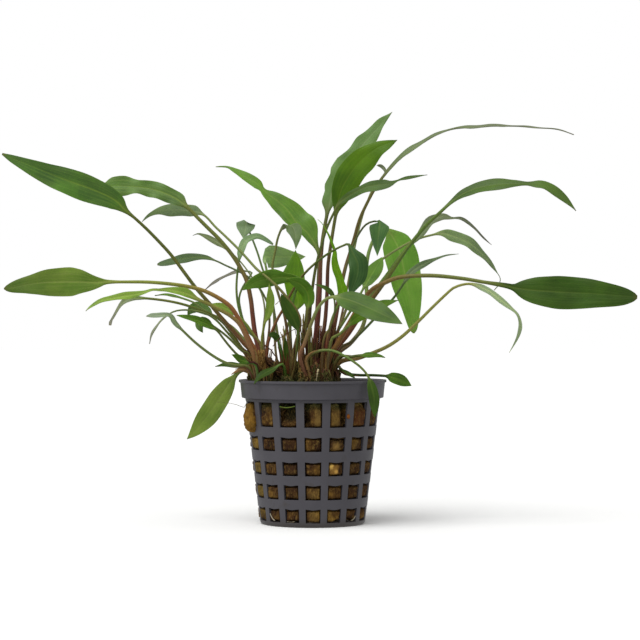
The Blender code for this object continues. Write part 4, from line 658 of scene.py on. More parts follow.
def scale_ring(middle, sideways, outward, wide, thick, hug):
    """One ring of points round a thin scale that bends back round whatever it hugs."""
    ring = []
    for side in range(SHEATH_SIDES):
        around = 2 * math.pi * side / SHEATH_SIDES
        out = thick * math.sin(around) - hug * wide * math.cos(around) ** 2
        ring.append(tuple(middle + sideways * wide * math.cos(around) + outward * out))
    return ring


def old_sheaths(centre, radii, count, seed):
    """Pointed brown scales, the dried sheaths of lost leaves, that stand round the knot and hug it."""
    chance = random.Random(seed)
    parts = []
    for _ in range(count):
        turn = chance.uniform(0, 2 * math.pi)
        outward = np.array((math.cos(turn), math.sin(turn), 0.0))
        foot_rise = chance.uniform(0.0, 0.95)
        length = chance.uniform(*SHEATH_HEIGHT)
        lean = chance.uniform(0.02, 0.22)
        half = chance.uniform(*SHEATH_HALF_WIDTH)
        sideways = np.array((-outward[1], outward[0], 0.0))
        sway = chance.uniform(-0.8, 0.8)
        foot_reach = math.cos(foot_rise)
        foot = np.array((centre[0] + radii[0] * foot_reach * outward[0],
                         centre[1] + radii[1] * foot_reach * outward[1],
                         centre[2] - 0.5 + radii[2] * math.sin(foot_rise) * 0.9))
        top = centre[2] + radii[2] + 2.6
        verts = []
        for ring in range(SHEATH_RINGS):
            share = ring / (SHEATH_RINGS - 1)
            place = foot + outward * (0.2 + lean * length * share ** 1.6) + sideways * sway * share ** 2
            place[2] = min(foot[2] + length * share, top - 0.8 * (1 - share))
            wide = half * (1 - 0.96 * share ** 1.7)
            verts += scale_ring(place, sideways, outward, wide, SHEATH_THICKNESS, SHEATH_HUG)
        parts.append((verts, closed_skin(SHEATH_SIDES, SHEATH_RINGS)))
    return parts


def crown_fibre():
    """Old stalk bases and root fibre: matt umber to tan, streaked up and down, with moss at the foot."""
    material = new_material("brown_root_fibre")
    place = add_node(material, "ShaderNodeTexCoord", {}, {}).outputs["Object"]
    upward = add_node(material, "ShaderNodeMapping", {}, {"Vector": place, "Scale": (1.0, 1.0, 0.22)})
    streak = add_node(material, "ShaderNodeTexNoise", {},
                      {"Vector": upward.outputs["Vector"], "Scale": per_mm(0.8), "Detail": 5.0})
    patch = add_node(material, "ShaderNodeTexNoise", {},
                     {"Vector": place, "Scale": per_mm(4), "Detail": 3.0}).outputs["Fac"]
    ramp = add_node(material, "ShaderNodeValToRGB", {}, {"Fac": streak.outputs["Fac"]})
    set_stops(ramp, ((0.30, "#1e120b"), (0.45, "#402818"), (0.57, "#6e4c2a"), (0.70, "#9c7a48")))

    # The stored colours give each fibre and scale a tone of its own
    fibred = laid_over(material, ramp.outputs["Color"])
    green_share = add_node(material, "ShaderNodeMapRange", {},
                           {"Value": patch, "From Min": 0.52, "From Max": 0.72, "To Max": 0.5})
    greened = add_node(material, "ShaderNodeMixRGB", {},
                       {"Fac": green_share.outputs["Result"], "Color1": fibred,
                        "Color2": linear("#5e6a2a")})
    height = add_node(material, "ShaderNodeSeparateXYZ", {}, {"Vector": place}).outputs["Z"]
    moss_share = add_node(material, "ShaderNodeMapRange", {},
                          {"Value": height, "From Min": 51.5 * MM, "From Max": 48.0 * MM, "To Max": 0.75})
    mossy = add_node(material, "ShaderNodeMixRGB", {},
                     {"Fac": moss_share.outputs["Result"], "Color1": greened.outputs["Color"],
                      "Color2": linear("#39401a")})
    dull = add_node(material, "ShaderNodeMapRange", {}, {"Value": patch, "To Min": 0.6, "To Max": 0.9})
    shader = finish_surface(material, mossy.outputs["Color"], dull.outputs["Result"],
                            streak.outputs["Fac"], 0.2)
    shader.inputs["Specular IOR Level"].default_value = 0.25
    return material


def fibre_bundle(start, end, spread, count, thickness, crook, seed):
    """Root fibres or thin old stalks side by side from one place to another, thinning towards their end."""
    chance = random.Random(seed)
    start, end = np.array(start, float), np.array(end, float)
    parts = []
    for _ in range(count):
        first = start + 0.6 * np.array([chance.uniform(-reach, reach) for reach in spread])
        last = end + np.array([chance.uniform(-reach, reach) for reach in spread])
        offset = chance.uniform(0, 30)
        points = []
        for step in range(BUNDLE_POINTS):
            share = step / (BUNDLE_POINTS - 1)
            bent = np.array([rough((6 * share, offset, axis), 1.2, 3.7) for axis in range(3)])
            points.append(first + (last - first) * share + crook * min(1.0, 5 * share) * bent)
        thick = chance.uniform(0.5, 1.0) * thickness
        parts.append(tube(points, tapered(thick, 0.6, BUNDLE_POINTS), FIBRE_SIDES))
    return parts


def show_fibres(name, parts, palettes, share, slot, *nodes):
    """Show a tangle, each part in a colour from its own palette, laid at this share. A core stays plain."""
    chance = random.Random(name + "_colours")
    mesh = solid_mesh(name, parts)
    colours, shares = [], []
    for (verts, _), palette in zip(parts, palettes):
        colours.extend(linear(chance.choice(palette)) * len(verts))
        shares.extend([0.0 if len(verts) == CROWN_RINGS * CROWN_SIDES else share] * len(verts))
    lay_colours(mesh, colours, shares)
    return show_piece(name, mesh, [fibre], slot, *nodes)


# The fibre's colours: golden where it is new, umber where it is dead, mossy at the foot, and the
# olive, straw and maroon of thin stalks whose leaves are gone
GOLDEN = ("#9a7040", "#b08e54", "#a5803c", "#7a5a2c", "#8a6a30")
UMBER = ("#3a2418", "#2b1a12", "#4a3020", "#5a3c22")
MOSSY = ("#3f4a1c", "#56602a", "#6e6a34", "#4a4420", "#7d6a3a")
OLIVE = ("#7d7a3c", "#6a6430", "#8d7a44", "#76683a", "#5c6a2e")
STRAW = ("#a8985a", "#94904a", "#b8a062", "#8f8a48")
MAROON = ("#5c2f22", "#6e3a30", "#4a261c", "#6e4a2a", "#7a5236")
MIXED = GOLDEN + UMBER + OLIVE

# Bundles of old fibre about the crowns: from, to, spread, count, thickness, crook and palette. The
# first is a dead root that leans over to the middle crown, and thin leafless stalks stand among the rest
BUNDLE_POINTS = 12
BUNDLES = {
    "crown_left": (
        ((-15.2, -7.0, 55.6), (-8.6, -7.0, 48.4), (1.1, 1.4, 1.0), 50, 0.46, 1.1, UMBER),
        ((-12.8, -5.0, 53.0), (-11.6, -5.0, 44.5), (1.6, 2.0, 1.2), 44, 0.44, 1.5, UMBER),
        ((-21.0, -8.0, 51.0), (-21.4, -7.0, 45.0), (1.0, 1.8, 1.0), 16, 0.34, 0.8, MIXED),
        ((-17.4, -10.2, 57.6), (-18.0, -9.8, 47.6), (1.9, 0.9, 2.0), 96, 0.2, 1.2, GOLDEN),
        ((-17.6, -10.6, 56.6), (-24.5, -9.8, 55.0), (0.8, 0.8, 1.4), 9, 0.16, 1.0, GOLDEN),
        ((-19.8, -8.4, 51.4), (-19.6, -9.4, 45.0), (1.1, 1.0, 1.2), 26, 0.26, 0.9, MOSSY)),
    "crown_middle": (
        ((-6.4, -5.0, 56.0), (-5.0, -6.0, 45.0), (1.2, 1.6, 1.4), 48, 0.40, 1.2, MOSSY + OLIVE),
        ((-10.4, -6.0, 50.0), (-12.4, -6.0, 44.8), (0.9, 1.5, 0.8), 14, 0.34, 0.9, UMBER),
        ((-8.6, -10.0, 49.6), (-8.8, -11.6, 45.0), (3.0, 1.0, 0.8), 50, 0.24, 1.2, MOSSY),
        ((-6.8, -4.0, 46.5), (-9.8, -7.0, 66.0), (1.8, 1.4, 3.0), 8, 0.44, 0.2, STRAW)),
    "crown_central": (
        ((-4.0, -6.5, 56.5), (-4.6, -7.0, 45.0), (1.2, 1.8, 1.4), 48, 0.40, 1.2, OLIVE + MOSSY),
        ((8.2, -6.0, 51.0), (9.2, -6.0, 45.0), (1.0, 1.8, 1.0), 16, 0.34, 0.9, MAROON),
        ((-3.0, -11.2, 52.2), (-3.4, -12.4, 45.0), (1.9, 1.0, 1.8), 46, 0.25, 1.3, MOSSY + GOLDEN),
        ((0.6, -11.6, 52.8), (0.4, -12.8, 45.0), (1.9, 1.0, 1.8), 52, 0.25, 1.3, MOSSY + MAROON),
        ((4.6, -11.2, 51.6), (5.0, -12.4, 45.0), (1.8, 1.0, 1.6), 46, 0.25, 1.3, MOSSY + MAROON),
        ((-3.4, -4.0, 46.5), (-5.0, -8.6, 68.0), (2.2, 1.4, 3.0), 14, 0.46, 0.2, STRAW),
        ((-0.6, -4.0, 46.5), (-1.4, -8.0, 66.0), (1.8, 1.4, 3.0), 12, 0.46, 0.2, STRAW + MAROON),
        ((0.4, -3.6, 46.5), (3.4, -7.0, 64.0), (1.7, 1.4, 3.0), 14, 0.62, 0.2, MAROON),
        ((4.2, -3.0, 46.5), (7.4, -4.0, 66.0), (1.8, 1.4, 4.0), 18, 0.62, 0.2, MAROON))}

# Each crown: its node, heart, radii, how many fibres lie on its knot, and their palette
CROWNS = (("crown_left", LEFT_CROWN, (4.0, 7.5, 11.0), 130, GOLDEN + UMBER[3:] + OLIVE[1:2]),
          ("crown_middle", MIDDLE_CROWN, (2.6, 5.6, 6.6), 70, MOSSY + UMBER[:1]),
          ("crown_central", CENTRAL_CROWN, (6.4, 8.4, 11.2), 170, MAROON + MOSSY[:3]))
fibre = crown_fibre()
for name, centre, radii, count, palette in CROWNS:
    knot = [crown_core(centre, radii)] + crown_fibres(centre, radii, count, name)
    knot += old_sheaths(centre, radii, count // 4, name + "_sheaths")
    palettes = [palette] * len(knot)
    for number, (start, end, spread, bundle, thickness, crook, colours) in enumerate(BUNDLES[name]):
        knot += fibre_bundle(start, end, spread, bundle, thickness, crook, f"{name}_{number}")
        palettes += [colours] * bundle
    show_fibres(name + "_knot", knot, palettes, 0.75, "crown_fibre", name)


# Loose roots: single roots and dead stalk ends that hang free of the crowns, thin as thread, brown or
# bleached where they have dried. Two of them lie over the pot's lip.

# In each row: (x, z) places, y, thickness and colour
ROOT_CROOK = 0.25
LOOSE_ROOTS = (
    (((-22.0, 40.6), (-23.0, 39.4), (-26.0, 40.5), (-28.5, 41.0), (-32.0, 41.2)), -8.0, 0.10, "#b9a878"),
    (((1.9, 52.4), (1.6, 50.6), (1.3, 48.6)), -21.0, 0.32, "#cdbf95"),
    (((-16.0, 60.2), (-14.6, 59.4), (-12.8, 57.2), (-11.3, 54.9), (-10.6, 51.0)), -9.0, 0.26, "#5a3520"),
    (((-13.2, 60.0), (-11.3, 62.5), (-7.0, 65.2), (-3.0, 67.0), (-0.6, 68.2)), -11.0, 0.16, "#5a3a26"),
    (((-12.6, 74.0), (-12.0, 74.4), (-11.4, 75.0), (-10.6, 74.8)), -3.0, 0.14, "#b6a27c"))
for number, (path, y, thick, code) in enumerate(LOOSE_ROOTS):
    line = np.array(path)
    even = np.linspace(0, len(path) - 1, 6 * len(path))
    points = np.stack([np.interp(even, range(len(path)), line[:, 0]), np.full(len(even), y),
                       np.interp(even, range(len(path)), line[:, 1])], axis=1)
    points[1:-1] = 0.25 * points[:-2] + 0.5 * points[1:-1] + 0.25 * points[2:]
    points += [[ROOT_CROOK * rough((step, number, axis), 3.0, 1.9) for axis in range(3)]
               for step in range(len(points))]
    root = tube(points, tapered(thick, 0.5, len(points)), FIBRE_SIDES)
    show_fibres(f"loose_root_{number + 1}", [root], [(code,)], 0.8, "crown_fibre")


# Leaves: each is one growth, a round stalk that flattens into a lance-shaped blade with a raised
# midrib below and faint veins that run from end to end. Stalks are red-brown at the foot, green above.
STALK_STEP = 1.5
BLADE_STEP = 0.9
PATH_STEPS = 16
SECTION_COLUMNS = 17
RIB_THICKNESS = 0.34
MARGIN_THICKNESS = 0.15
MARGIN_CURL = 0.06
TIP_TAPER = 1.3
RIB_BELOW = 0.9
RIB_GROOVE = 0.25
SHEATH_LENGTH = 13.0
SHEATH_SWELLING = 0.35
SHARP_EDGE = 50

# Each leaf is given as it is seen from the eye, in the plane of the pot's axis, and is moved along the
# lines of sight to its depths, which change over a run of this length on each side of a given one
EYE = Vector((2.5, -700.0, 68.7))
DEPTH_EASE = 6.0

# A leaf's face is the turn of its upper side from the viewer at the blade's foot and at its tip, in
# degrees, or a blade that hangs keeps level from side to side instead
HANGING = None

# Flaps of dried sheath at the foot of each stalk
HUSKS = 2
HUSK_REACH = 1.25
HUSK_THICKNESS = 0.12
HUSK_HUG = 0.5
HUSK_COLOURS = ("#8a6238", "#6b4426", "#4e2a1c", "#a07c4a", "#5c5a28")

# What the skin's material reads for each point of a leaf, in the order in which grow_leaf lists it
LEAF_VALUES = ("side", "from_rib", "along", "share", "blade", "under", "tinged")
NO_TINGE = ("#918b84", 0.0, 0.0)
LIGHT_THROUGH = 0.25
LIGHT_THROUGH_TINT = (1.5, 1.5, 0.9, 1.0)


def smooth_path(points):
    """A dense Catmull-Rom path through (x, z) points, with each point's place in the list as a number."""
    path, marks = [], []
    last = len(points) - 1
    points = [np.array(point, float) for point in points]
    for index in range(last):
        before, start = points[max(index - 1, 0)], points[index]
        end, after = points[index + 1], points[min(index + 2, last)]
        for step in range(PATH_STEPS):
            t = step / PATH_STEPS
            path.append(0.5 * (2 * start + (end - before) * t
                               + (2 * before - 5 * start + 4 * end - after) * t * t
                               + (3 * start - before - 3 * end + after) * t ** 3))
            marks.append(index + t)
    path.append(points[last])
    marks.append(last)
    return np.array(path), np.array(marks)


def run_lengths(path):
    """How far along a path each of its places lies."""
    return np.concatenate([[0.0], np.cumsum(np.linalg.norm(np.diff(path, axis=0), axis=1))])


def leaf_spine(crown, stalk, blade, depth):
    """Places along a leaf at even steps, and its length there counted from the blade's start.

    The depths are at even steps along the stalk, from its foot to the blade's start, and at the tip.
    """
    heart = (crown[0] + 0.45 * (stalk[0][0] - crown[0]), HEART_Z)
    path, marks = smooth_path([heart, *stalk, *blade])
    lengths = run_lengths(path)
    start = lengths[np.argmax(marks >= len(stalk))]
    knots = (*np.linspace(0.0, start, len(depth) - 1), lengths[-1])
    reach = np.minimum(DEPTH_EASE, np.minimum(lengths, lengths[-1] - lengths))
    nearby = [np.interp(lengths + reach * shift, knots, depth) for shift in np.linspace(-1, 1, 9)]
    y = np.mean(nearby, axis=0)
    spread = 1.0 - y / EYE.y
    places = np.stack([EYE.x + (path[:, 0] - EYE.x) * spread, y,
                       EYE.z + (path[:, 1] - EYE.z) * spread], axis=1)
    real = run_lengths(places)
    real_start = real[np.argmax(marks >= len(stalk))]
    blade_length = real[-1] - real_start
    stalk_run = np.linspace(0, real_start, max(4, round(real_start / STALK_STEP)), endpoint=False)
    blade_run = np.linspace(real_start, real[-1], max(12, round(blade_length / BLADE_STEP)))
    run = np.concatenate([stalk_run, blade_run])
    spine = np.stack([np.interp(run, real, places[:, axis]) for axis in range(3)], axis=1)
    return spine, run - real_start, real_start, blade_length


def agree(directions, first):
    """Turn round each direction that points against its neighbour, working both ways from one station."""
    for order in (range(first + 1, len(directions)), range(first - 1, -1, -1)):
        for index in order:
            if directions[index].dot(directions[index - order.step]) < 0:
                directions[index] = -directions[index]


def leaf_frames(spine, share, face):
    """The width direction and the upper side's normal at each station of a leaf."""
    tangents = np.gradient(spine, axis=0)
    tangents /= np.linalg.norm(tangents, axis=1)[:, None]
    if face is HANGING:
        level = np.array((1.0, 0.0, 0.0)) - tangents * tangents[:, :1]
        level /= np.linalg.norm(level, axis=1)[:, None]
        normals = np.cross(tangents, level)
    else:
        viewer = np.array((0.0, -1.0, 0.0))
        toward = viewer - tangents * tangents.dot(viewer)[:, None]
        toward /= np.linalg.norm(toward, axis=1)[:, None]
        sides = np.cross(tangents, toward)
        blade_start = int(np.argmax(share >= 0))
        if sides[blade_start][2] + 0.01 * sides[blade_start][0] < 0:
            sides[blade_start] = -sides[blade_start]
        agree(sides, blade_start)
        agree(toward, len(toward) - 1)
        turn = np.radians(face[0] + (face[1] - face[0]) * np.clip(share, 0, 1))[:, None]
        normals = toward * np.cos(turn) + sides * np.sin(turn)
    across = np.cross(tangents, normals)
    across /= np.linalg.norm(across, axis=1)[:, None]
    return across, np.cross(across, tangents)


def ease(value):
    """A rise from nothing at 0 to one at 1 that starts and ends gently."""
    value = min(max(value, 0.0), 1.0)
    return value * value * (3 - 2 * value)


def half_width(share, shape, edge):
    """Half a blade's width on one side: from its drawn edges, or else a wedge that ends in a point."""
    if share <= 0:
        return 0.0
    if shape["edges"]:
        rows = shape["edges"]
        return float(smooth_between(share, [row[0] for row in rows], [row[edge] for row in rows]))
    widest = shape["widest"]
    if share < widest:
        return 0.5 * shape["width"] * math.sin(math.pi / 2 * (share / widest) ** shape["wedge"])
    return 0.5 * shape["width"] * math.cos(math.pi / 2 * ((share - widest) / (1 - widest)) ** TIP_TAPER)


def smooth_between(place, places, values):
    """A value from a list of places and values, joined by curves that never swing past a value."""
    index = min(max(int(np.searchsorted(places, place)) - 1, 0), len(places) - 2)
    slopes = [(values[i + 1] - values[i]) / (places[i + 1] - places[i]) for i in range(len(places) - 1)]

    def lean(i):
        if i == 0 or i == len(slopes):
            return slopes[0] if i == 0 else slopes[-1]
        before, after = slopes[i - 1], slopes[i]
        return 0.0 if before * after <= 0 else 2 * before * after / (before + after)

    span = places[index + 1] - places[index]
    t = (place - places[index]) / span
    return ((2 * t ** 3 - 3 * t ** 2 + 1) * values[index] + (t ** 3 - 2 * t ** 2 + t) * span * lean(index)
            + (3 * t ** 2 - 2 * t ** 3) * values[index + 1] + (t ** 3 - t ** 2) * span * lean(index + 1))


def leaf_section(run, share, stalk_length, shape):
    """Corners of a leaf's section as (across, up, side from -1 to 1, underside) tuples."""
    base, top = shape["girth"]
    along_stalk = min(max(1 + run / stalk_length, 0.0), 1.0)
    sheath = max(0.0, 1 - along_stalk * stalk_length / SHEATH_LENGTH)
    radius = 0.5 * (base + (top - base) * along_stalk) * (1 + SHEATH_SWELLING * sheath ** 2)
    flat = ease(share / shape["flatten"])
    shrunk = radius * (1 - ease(share * 1.6)) + 0.02
    halves = [math.hypot(half_width(share, shape, edge), shrunk) for edge in (1, 2)]
    middle_half = 0.5 * sum(halves)
    rib = 0.5 * top * 0.8 * (1 - min(max(share, 0.0), 1.0)) ** 0.7 + 0.05
    height, period = shape["wave"]
    keel = math.tan(math.radians(shape["keel"]))
    envelope = math.sin(math.pi * min(max(share, 0.0), 1.0)) ** 0.6
    corners = []
    for under in (0, 1):
        order = range(SECTION_COLUMNS) if not under else range(SECTION_COLUMNS - 1, -1, -1)
        for column in order:
            t = -1 + 2 * column / (SECTION_COLUMNS - 1)
            side = math.copysign(abs(t) ** 1.25, t)
            round_turn = math.pi * (1 - (column + 0.5) / SECTION_COLUMNS)
            phase = 2 * math.pi * run / period + (0.0 if side < 0 else 2.1) + shape["phase"]
            ripple = 1 + 0.06 * height * math.sin(0.83 * phase)
            half = halves[0] if side < 0 else halves[1]
            x = half * side * ripple
            lift = keel * half * (math.hypot(side, 0.18) - 0.18) - MARGIN_CURL * middle_half * side ** 4
            lift += height * envelope * abs(side) ** 2 * math.sin(phase)
            thick = 0.5 * (RIB_THICKNESS + (MARGIN_THICKNESS - RIB_THICKNESS) * abs(side))
            ridge = math.exp(-(x / (0.8 * rib + 0.08)) ** 2)
            y = lift - thick - RIB_BELOW * rib * ridge if under else lift + thick - RIB_GROOVE * rib * ridge
            round_x = radius * math.cos(round_turn)
            round_y = radius * math.sin(round_turn) * (-1 if under else 1)
            corners.append((round_x + (x - round_x) * flat, round_y + (y - round_y) * flat, side, under))
    return corners, flat


def leaf_skin(name, deep, main, pale, under):
    """Leaf skin: satin green over thin flesh that lets light through, with faint veins along its length."""
    material = new_material(name)
    place = add_node(material, "ShaderNodeTexCoord", {}, {}).outputs["Object"]
    stored = {}
    for label in (*LEAF_VALUES, "leaf_seed", "shade", "stalk_colour", "tinge_colour"):
        attribute = add_node(material, "ShaderNodeAttribute", {"attribute_name": label}, {})
        stored[label] = attribute.outputs["Color" if label.endswith("_colour") else "Fac"]
    aside = add_node(material, "ShaderNodeMath", {"operation": "ABSOLUTE"}, {0: stored["side"]}).outputs[0]

    # Streaks run with the veins: many times longer than they are wide
    stretched = add_node(material, "ShaderNodeMath", {"operation": "MULTIPLY"},
                         {0: stored["along"], 1: 0.05}).outputs[0]
    spread = add_node(material, "ShaderNodeMath", {"operation": "MULTIPLY_ADD"},
                      {0: stored["side"], 1: 4.0, 2: stored["leaf_seed"]}).outputs[0]
    lengthwise = add_node(material, "ShaderNodeCombineXYZ", {},
                          {"X": spread, "Y": stretched, "Z": stored["leaf_seed"]}).outputs[0]
    streak = add_node(material, "ShaderNodeTexNoise", {},
                      {"Vector": lengthwise, "Scale": 1.5, "Detail": 4.0}).outputs[0]
    blotch = add_node(material, "ShaderNodeTexNoise", {},
                      {"Vector": place, "Scale": per_mm(11), "Detail": 3.0}).outputs[0]
    cells = add_node(material, "ShaderNodeTexNoise", {},
                     {"Vector": place, "Scale": per_mm(0.55), "Detail": 3.0}).outputs[0]

    # Veins: three faint lines on each side of the midrib, which itself is a paler line that fades out
    folded = add_node(material, "ShaderNodeMath", {"operation": "PINGPONG"}, {0: aside, 1: 0.14}).outputs[0]
    vein = add_node(material, "ShaderNodeMapRange", {},
                    {"Value": folded, "From Max": 0.03, "To Min": 1.0, "To Max": 0.0}).outputs[0]
    on_rib = add_node(material, "ShaderNodeMapRange", {},
                      {"Value": stored["from_rib"], "From Min": 0.10, "From Max": 0.42, "To Min": 1.0,
                       "To Max": 0.0}).outputs[0]
    rib_fade = add_node(material, "ShaderNodeMapRange", {},
                        {"Value": stored["share"], "From Max": 0.85, "To Min": 0.75,
                         "To Max": 0.10}).outputs[0]
    rib = add_node(material, "ShaderNodeMath", {"operation": "MULTIPLY"}, {0: on_rib, 1: rib_fade}).outputs[0]

    # Layers of the blade's colour, each laid over those before: what its share is read from, from where
    # and to where, the most that it covers, and its colour
    rib_colour = add_node(material, "ShaderNodeMixRGB", {},
                          {"Fac": 0.6, "Color1": stored["stalk_colour"], "Color2": linear(pale)}).outputs[0]
    colour = linear(deep)
    for value, low, high, most, laid in ((blotch, 0.36, 0.66, 1.0, linear(main)),
                                         (streak, 0.35, 0.75, 0.22, linear(pale)),
                                         (vein, 0.0, 1.0, 0.12, linear(pale)),
                                         (aside, 0.92, 1.0, 0.22, linear(pale)),
                                         (stored["under"], 0.0, 1.0, 0.5, linear(under)),
                                         (stored["tinged"], 0.0, 1.0, 1.0, stored["tinge_colour"]),
                                         (rib, 0.0, 1.0, 0.8, rib_colour),
                                         (stored["share"], 0.965, 1.0, 0.5, linear("#7c6c3c"))):
        cover = add_node(material, "ShaderNodeMapRange", {},
                         {"Value": value, "From Min": low, "From Max": high, "To Max": most}).outputs[0]
        colour = add_node(material, "ShaderNodeMixRGB", {},
                          {"Fac": cover, "Color1": colour, "Color2": laid}).outputs[0]
    # Each leaf's stored shade scales the blade's colour: partly the leaf's own tone, partly painted light and
    # shade for where it stands among the other leaves
    shaded = add_node(material, "ShaderNodeVectorMath", {"operation": "SCALE"},
                      {0: colour, "Scale": stored["shade"]}).outputs[0]

    # Stalks: their own colour, darkened by small brown flecks
    fleck = add_node(material, "ShaderNodeMapRange", {},
                     {"Value": cells, "From Min": 0.45, "From Max": 0.75, "To Max": 0.35}).outputs[0]
    pith = add_node(material, "ShaderNodeMapRange", {},
                    {"Value": streak, "From Min": 0.50, "From Max": 0.68, "To Max": 0.38}).outputs[0]
    streaked = add_node(material, "ShaderNodeMixRGB", {},
                        {"Fac": pith, "Color1": stored["stalk_colour"],
                         "Color2": linear("#a89a50")}).outputs[0]
    stalk_skin = add_node(material, "ShaderNodeMixRGB", {},
                          {"Fac": fleck, "Color1": streaked, "Color2": linear("#33221a")}).outputs[0]
    whole = add_node(material, "ShaderNodeMixRGB", {},
                     {"Fac": stored["blade"], "Color1": stalk_skin, "Color2": shaded}).outputs[0]
    gloss = add_node(material, "ShaderNodeMapRange", {},
                     {"Value": streak, "From Min": 0.3, "From Max": 0.7, "To Min": 0.38,
                      "To Max": 0.52}).outputs[0]
    grain = add_node(material, "ShaderNodeMath", {"operation": "ADD"}, {0: streak, 1: cells}).outputs[0]
    relief = add_node(material, "ShaderNodeMath", {"operation": "MULTIPLY_ADD"},
                      {0: vein, 1: -0.4, 2: grain}).outputs[0]
    shader = finish_surface(material, whole, gloss, relief, 0.05)
    shader.inputs["Specular IOR Level"].default_value = 0.3

    # The blade is thin enough for some light to pass through it, yellower than it came
    lit = add_node(material, "ShaderNodeMixRGB", {"blend_type": "MULTIPLY"},
                   {"Fac": 1.0, "Color1": whole, "Color2": LIGHT_THROUGH_TINT}).outputs[0]
    glow = add_node(material, "ShaderNodeBsdfTranslucent", {}, {"Color": lit}).outputs[0]
    thin = add_node(material, "ShaderNodeMath", {"operation": "MULTIPLY"},
                    {0: stored["blade"], 1: LIGHT_THROUGH}).outputs[0]
    skin = add_node(material, "ShaderNodeMixShader", {}, {0: thin, 1: shader.outputs[0], 2: glow}).outputs[0]
    surface = material.node_tree.nodes["Material Output"].inputs["Surface"]
    material.node_tree.links.new(skin, surface)
    return material


def husks(spine, radius, chance):
    """Dried sheath flaps that hug a stalk's foot, as (verts, faces) parts with one colour for each."""
    parts, colours = [], []
    for _ in range(HUSKS):
        start = chance.randint(2, 4)
        length = chance.randint(4, 7)
        stations = spine[start:start + length + 1]
        if len(stations) < 4:
            continue
        turn = chance.uniform(0, 2 * math.pi)
        tangents = np.gradient(stations, axis=0)
        tangents /= np.linalg.norm(tangents, axis=1)[:, None]
        lean = chance.uniform(0.2, 1.0)
        half = radius * chance.uniform(0.8, 1.3)
        verts = []
        for step, (place, tangent) in enumerate(zip(stations, tangents)):
            share = step / (len(stations) - 1)
            away = np.array((math.cos(turn), math.sin(turn), 0.0))
            away = away - tangent * away.dot(tangent)
            away /= np.linalg.norm(away)
            aside = np.cross(tangent, away)
            middle = place + away * (radius * 0.95 + 0.05 + lean * share ** 2.5)
            wide = half * (1 - 0.95 * share ** 1.8)
            verts += scale_ring(middle, aside, away, wide, HUSK_THICKNESS, HUSK_HUG)
        parts.append((verts, closed_skin(SHEATH_SIDES, len(stations))))
        colours.append(linear(chance.choice(HUSK_COLOURS)))
    return parts, colours


def grow_leaf(name, crown, skin, stalk_look, stalk, blade, depth, face=(40, 40), keel=12,
              girth=(1.5, 1.0), width=0.0, widest=0.42, wedge=1.0, edges=(), wave=(0.2, 11), flatten=0.18,
              shade=1.0, tinge=NO_TINGE):
    """One leaf, through (x, z) points as seen in the plane of the pot's axis, at these depths.

    Its stalk's look is a colour at the foot, one at the top, and where the first gives way to the second.
    A blade is as wide as its edges say, each a share of its length and the reach to either side, or else
    has a width, and the share of its length where it is widest. A tinge is a colour laid over the blade,
    and its share at the blade's foot and at its tip.
    """
    chance = random.Random(name)
    shape = {"girth": girth, "width": width, "widest": widest, "wedge": wedge, "edges": edges, "keel": keel,
             "wave": wave, "flatten": flatten, "phase": chance.uniform(0, 2 * math.pi)}
    spine, runs, stalk_length, blade_length = leaf_spine(crown, stalk, blade, depth)
    shares = runs / blade_length
    across, normals = leaf_frames(spine, shares, face)
    foot_colour, top_colour, greening = stalk_look
    foot_colour, top_colour = np.array(linear(foot_colour)), np.array(linear(top_colour))
    verts, stored, colours = [], [], []
    for place, run, share, width_way, normal in zip(spine, runs, shares, across, normals):
        corners, flat = leaf_section(run, share, stalk_length, shape)
        greened = ease((1 + run / stalk_length - greening) / 0.5 + 0.5)
        colour = foot_colour + (top_colour - foot_colour) * greened
        tinged = tinge[1] + (tinge[2] - tinge[1]) * max(share, 0.0)
        for x, y, side, under in corners:
            verts.append(tuple(place + width_way * x + normal * y))
            stored.append((side, abs(x), run, share, flat, under, tinged))
            colours.extend(colour)
    flaps, flap_colours = husks(spine, 0.5 * girth[0] * HUSK_REACH, chance)
    mesh = solid_mesh(name + "_growth", [(verts, closed_skin(2 * SECTION_COLUMNS, len(spine))), *flaps])
    for (flap, _), colour in zip(flaps, flap_colours):
        stored.extend((0.4, 9.0, z, -1.0, 0.0, 0.0, 0.0) for _, _, z in flap)
        colours.extend(colour * len(flap))
    for label, values in zip(LEAF_VALUES, zip(*stored)):
        store_numbers(mesh, label, values)
    store_numbers(mesh, "leaf_seed", [chance.uniform(0, 40)] * len(stored))
    # A brightness for the whole blade: partly the leaf's own tone, partly painted light and shade for where
    # it stands among the other leaves
    store_numbers(mesh, "shade", [shade] * len(stored))
    store_colours(mesh, "tinge_colour", linear(tinge[0]) * len(stored))
    store_colours(mesh, "stalk_colour", colours)
    mesh.set_sharp_from_angle(angle=math.radians(SHARP_EDGE))
    return show_piece(name + "_growth", mesh, [skin], SLOTS[skin.name], name)


dark_leaf = leaf_skin("dark_green_leaf_skin", "#3b5f13", "#55841c", "#8ca93b", "#8c9c51")
green_leaf = leaf_skin("mid_green_leaf_skin", "#456c1d", "#608d28", "#9ab14f", "#919d62")
light_leaf = leaf_skin("light_green_leaf_skin", "#6d942c", "#95b343", "#c6d378", "#abb984")
bright_leaf = leaf_skin("yellow_green_leaf_skin", "#4e7c08", "#6e9e0d", "#91ba22", "#85a82a")
grey_leaf = leaf_skin("grey_green_leaf_skin", "#678948", "#90af65", "#c6d599", "#bbc5a0")
blue_leaf = leaf_skin("blue_green_leaf_skin", "#2f5e28", "#4e8236", "#8db153", "#8da160")
SLOTS = {"dark_green_leaf_skin": "leaf_dark", "mid_green_leaf_skin": "leaf_green",
         "light_green_leaf_skin": "leaf_light", "yellow_green_leaf_skin": "leaf_bright",
         "grey_green_leaf_skin": "leaf_grey", "blue_green_leaf_skin": "leaf_blue"}

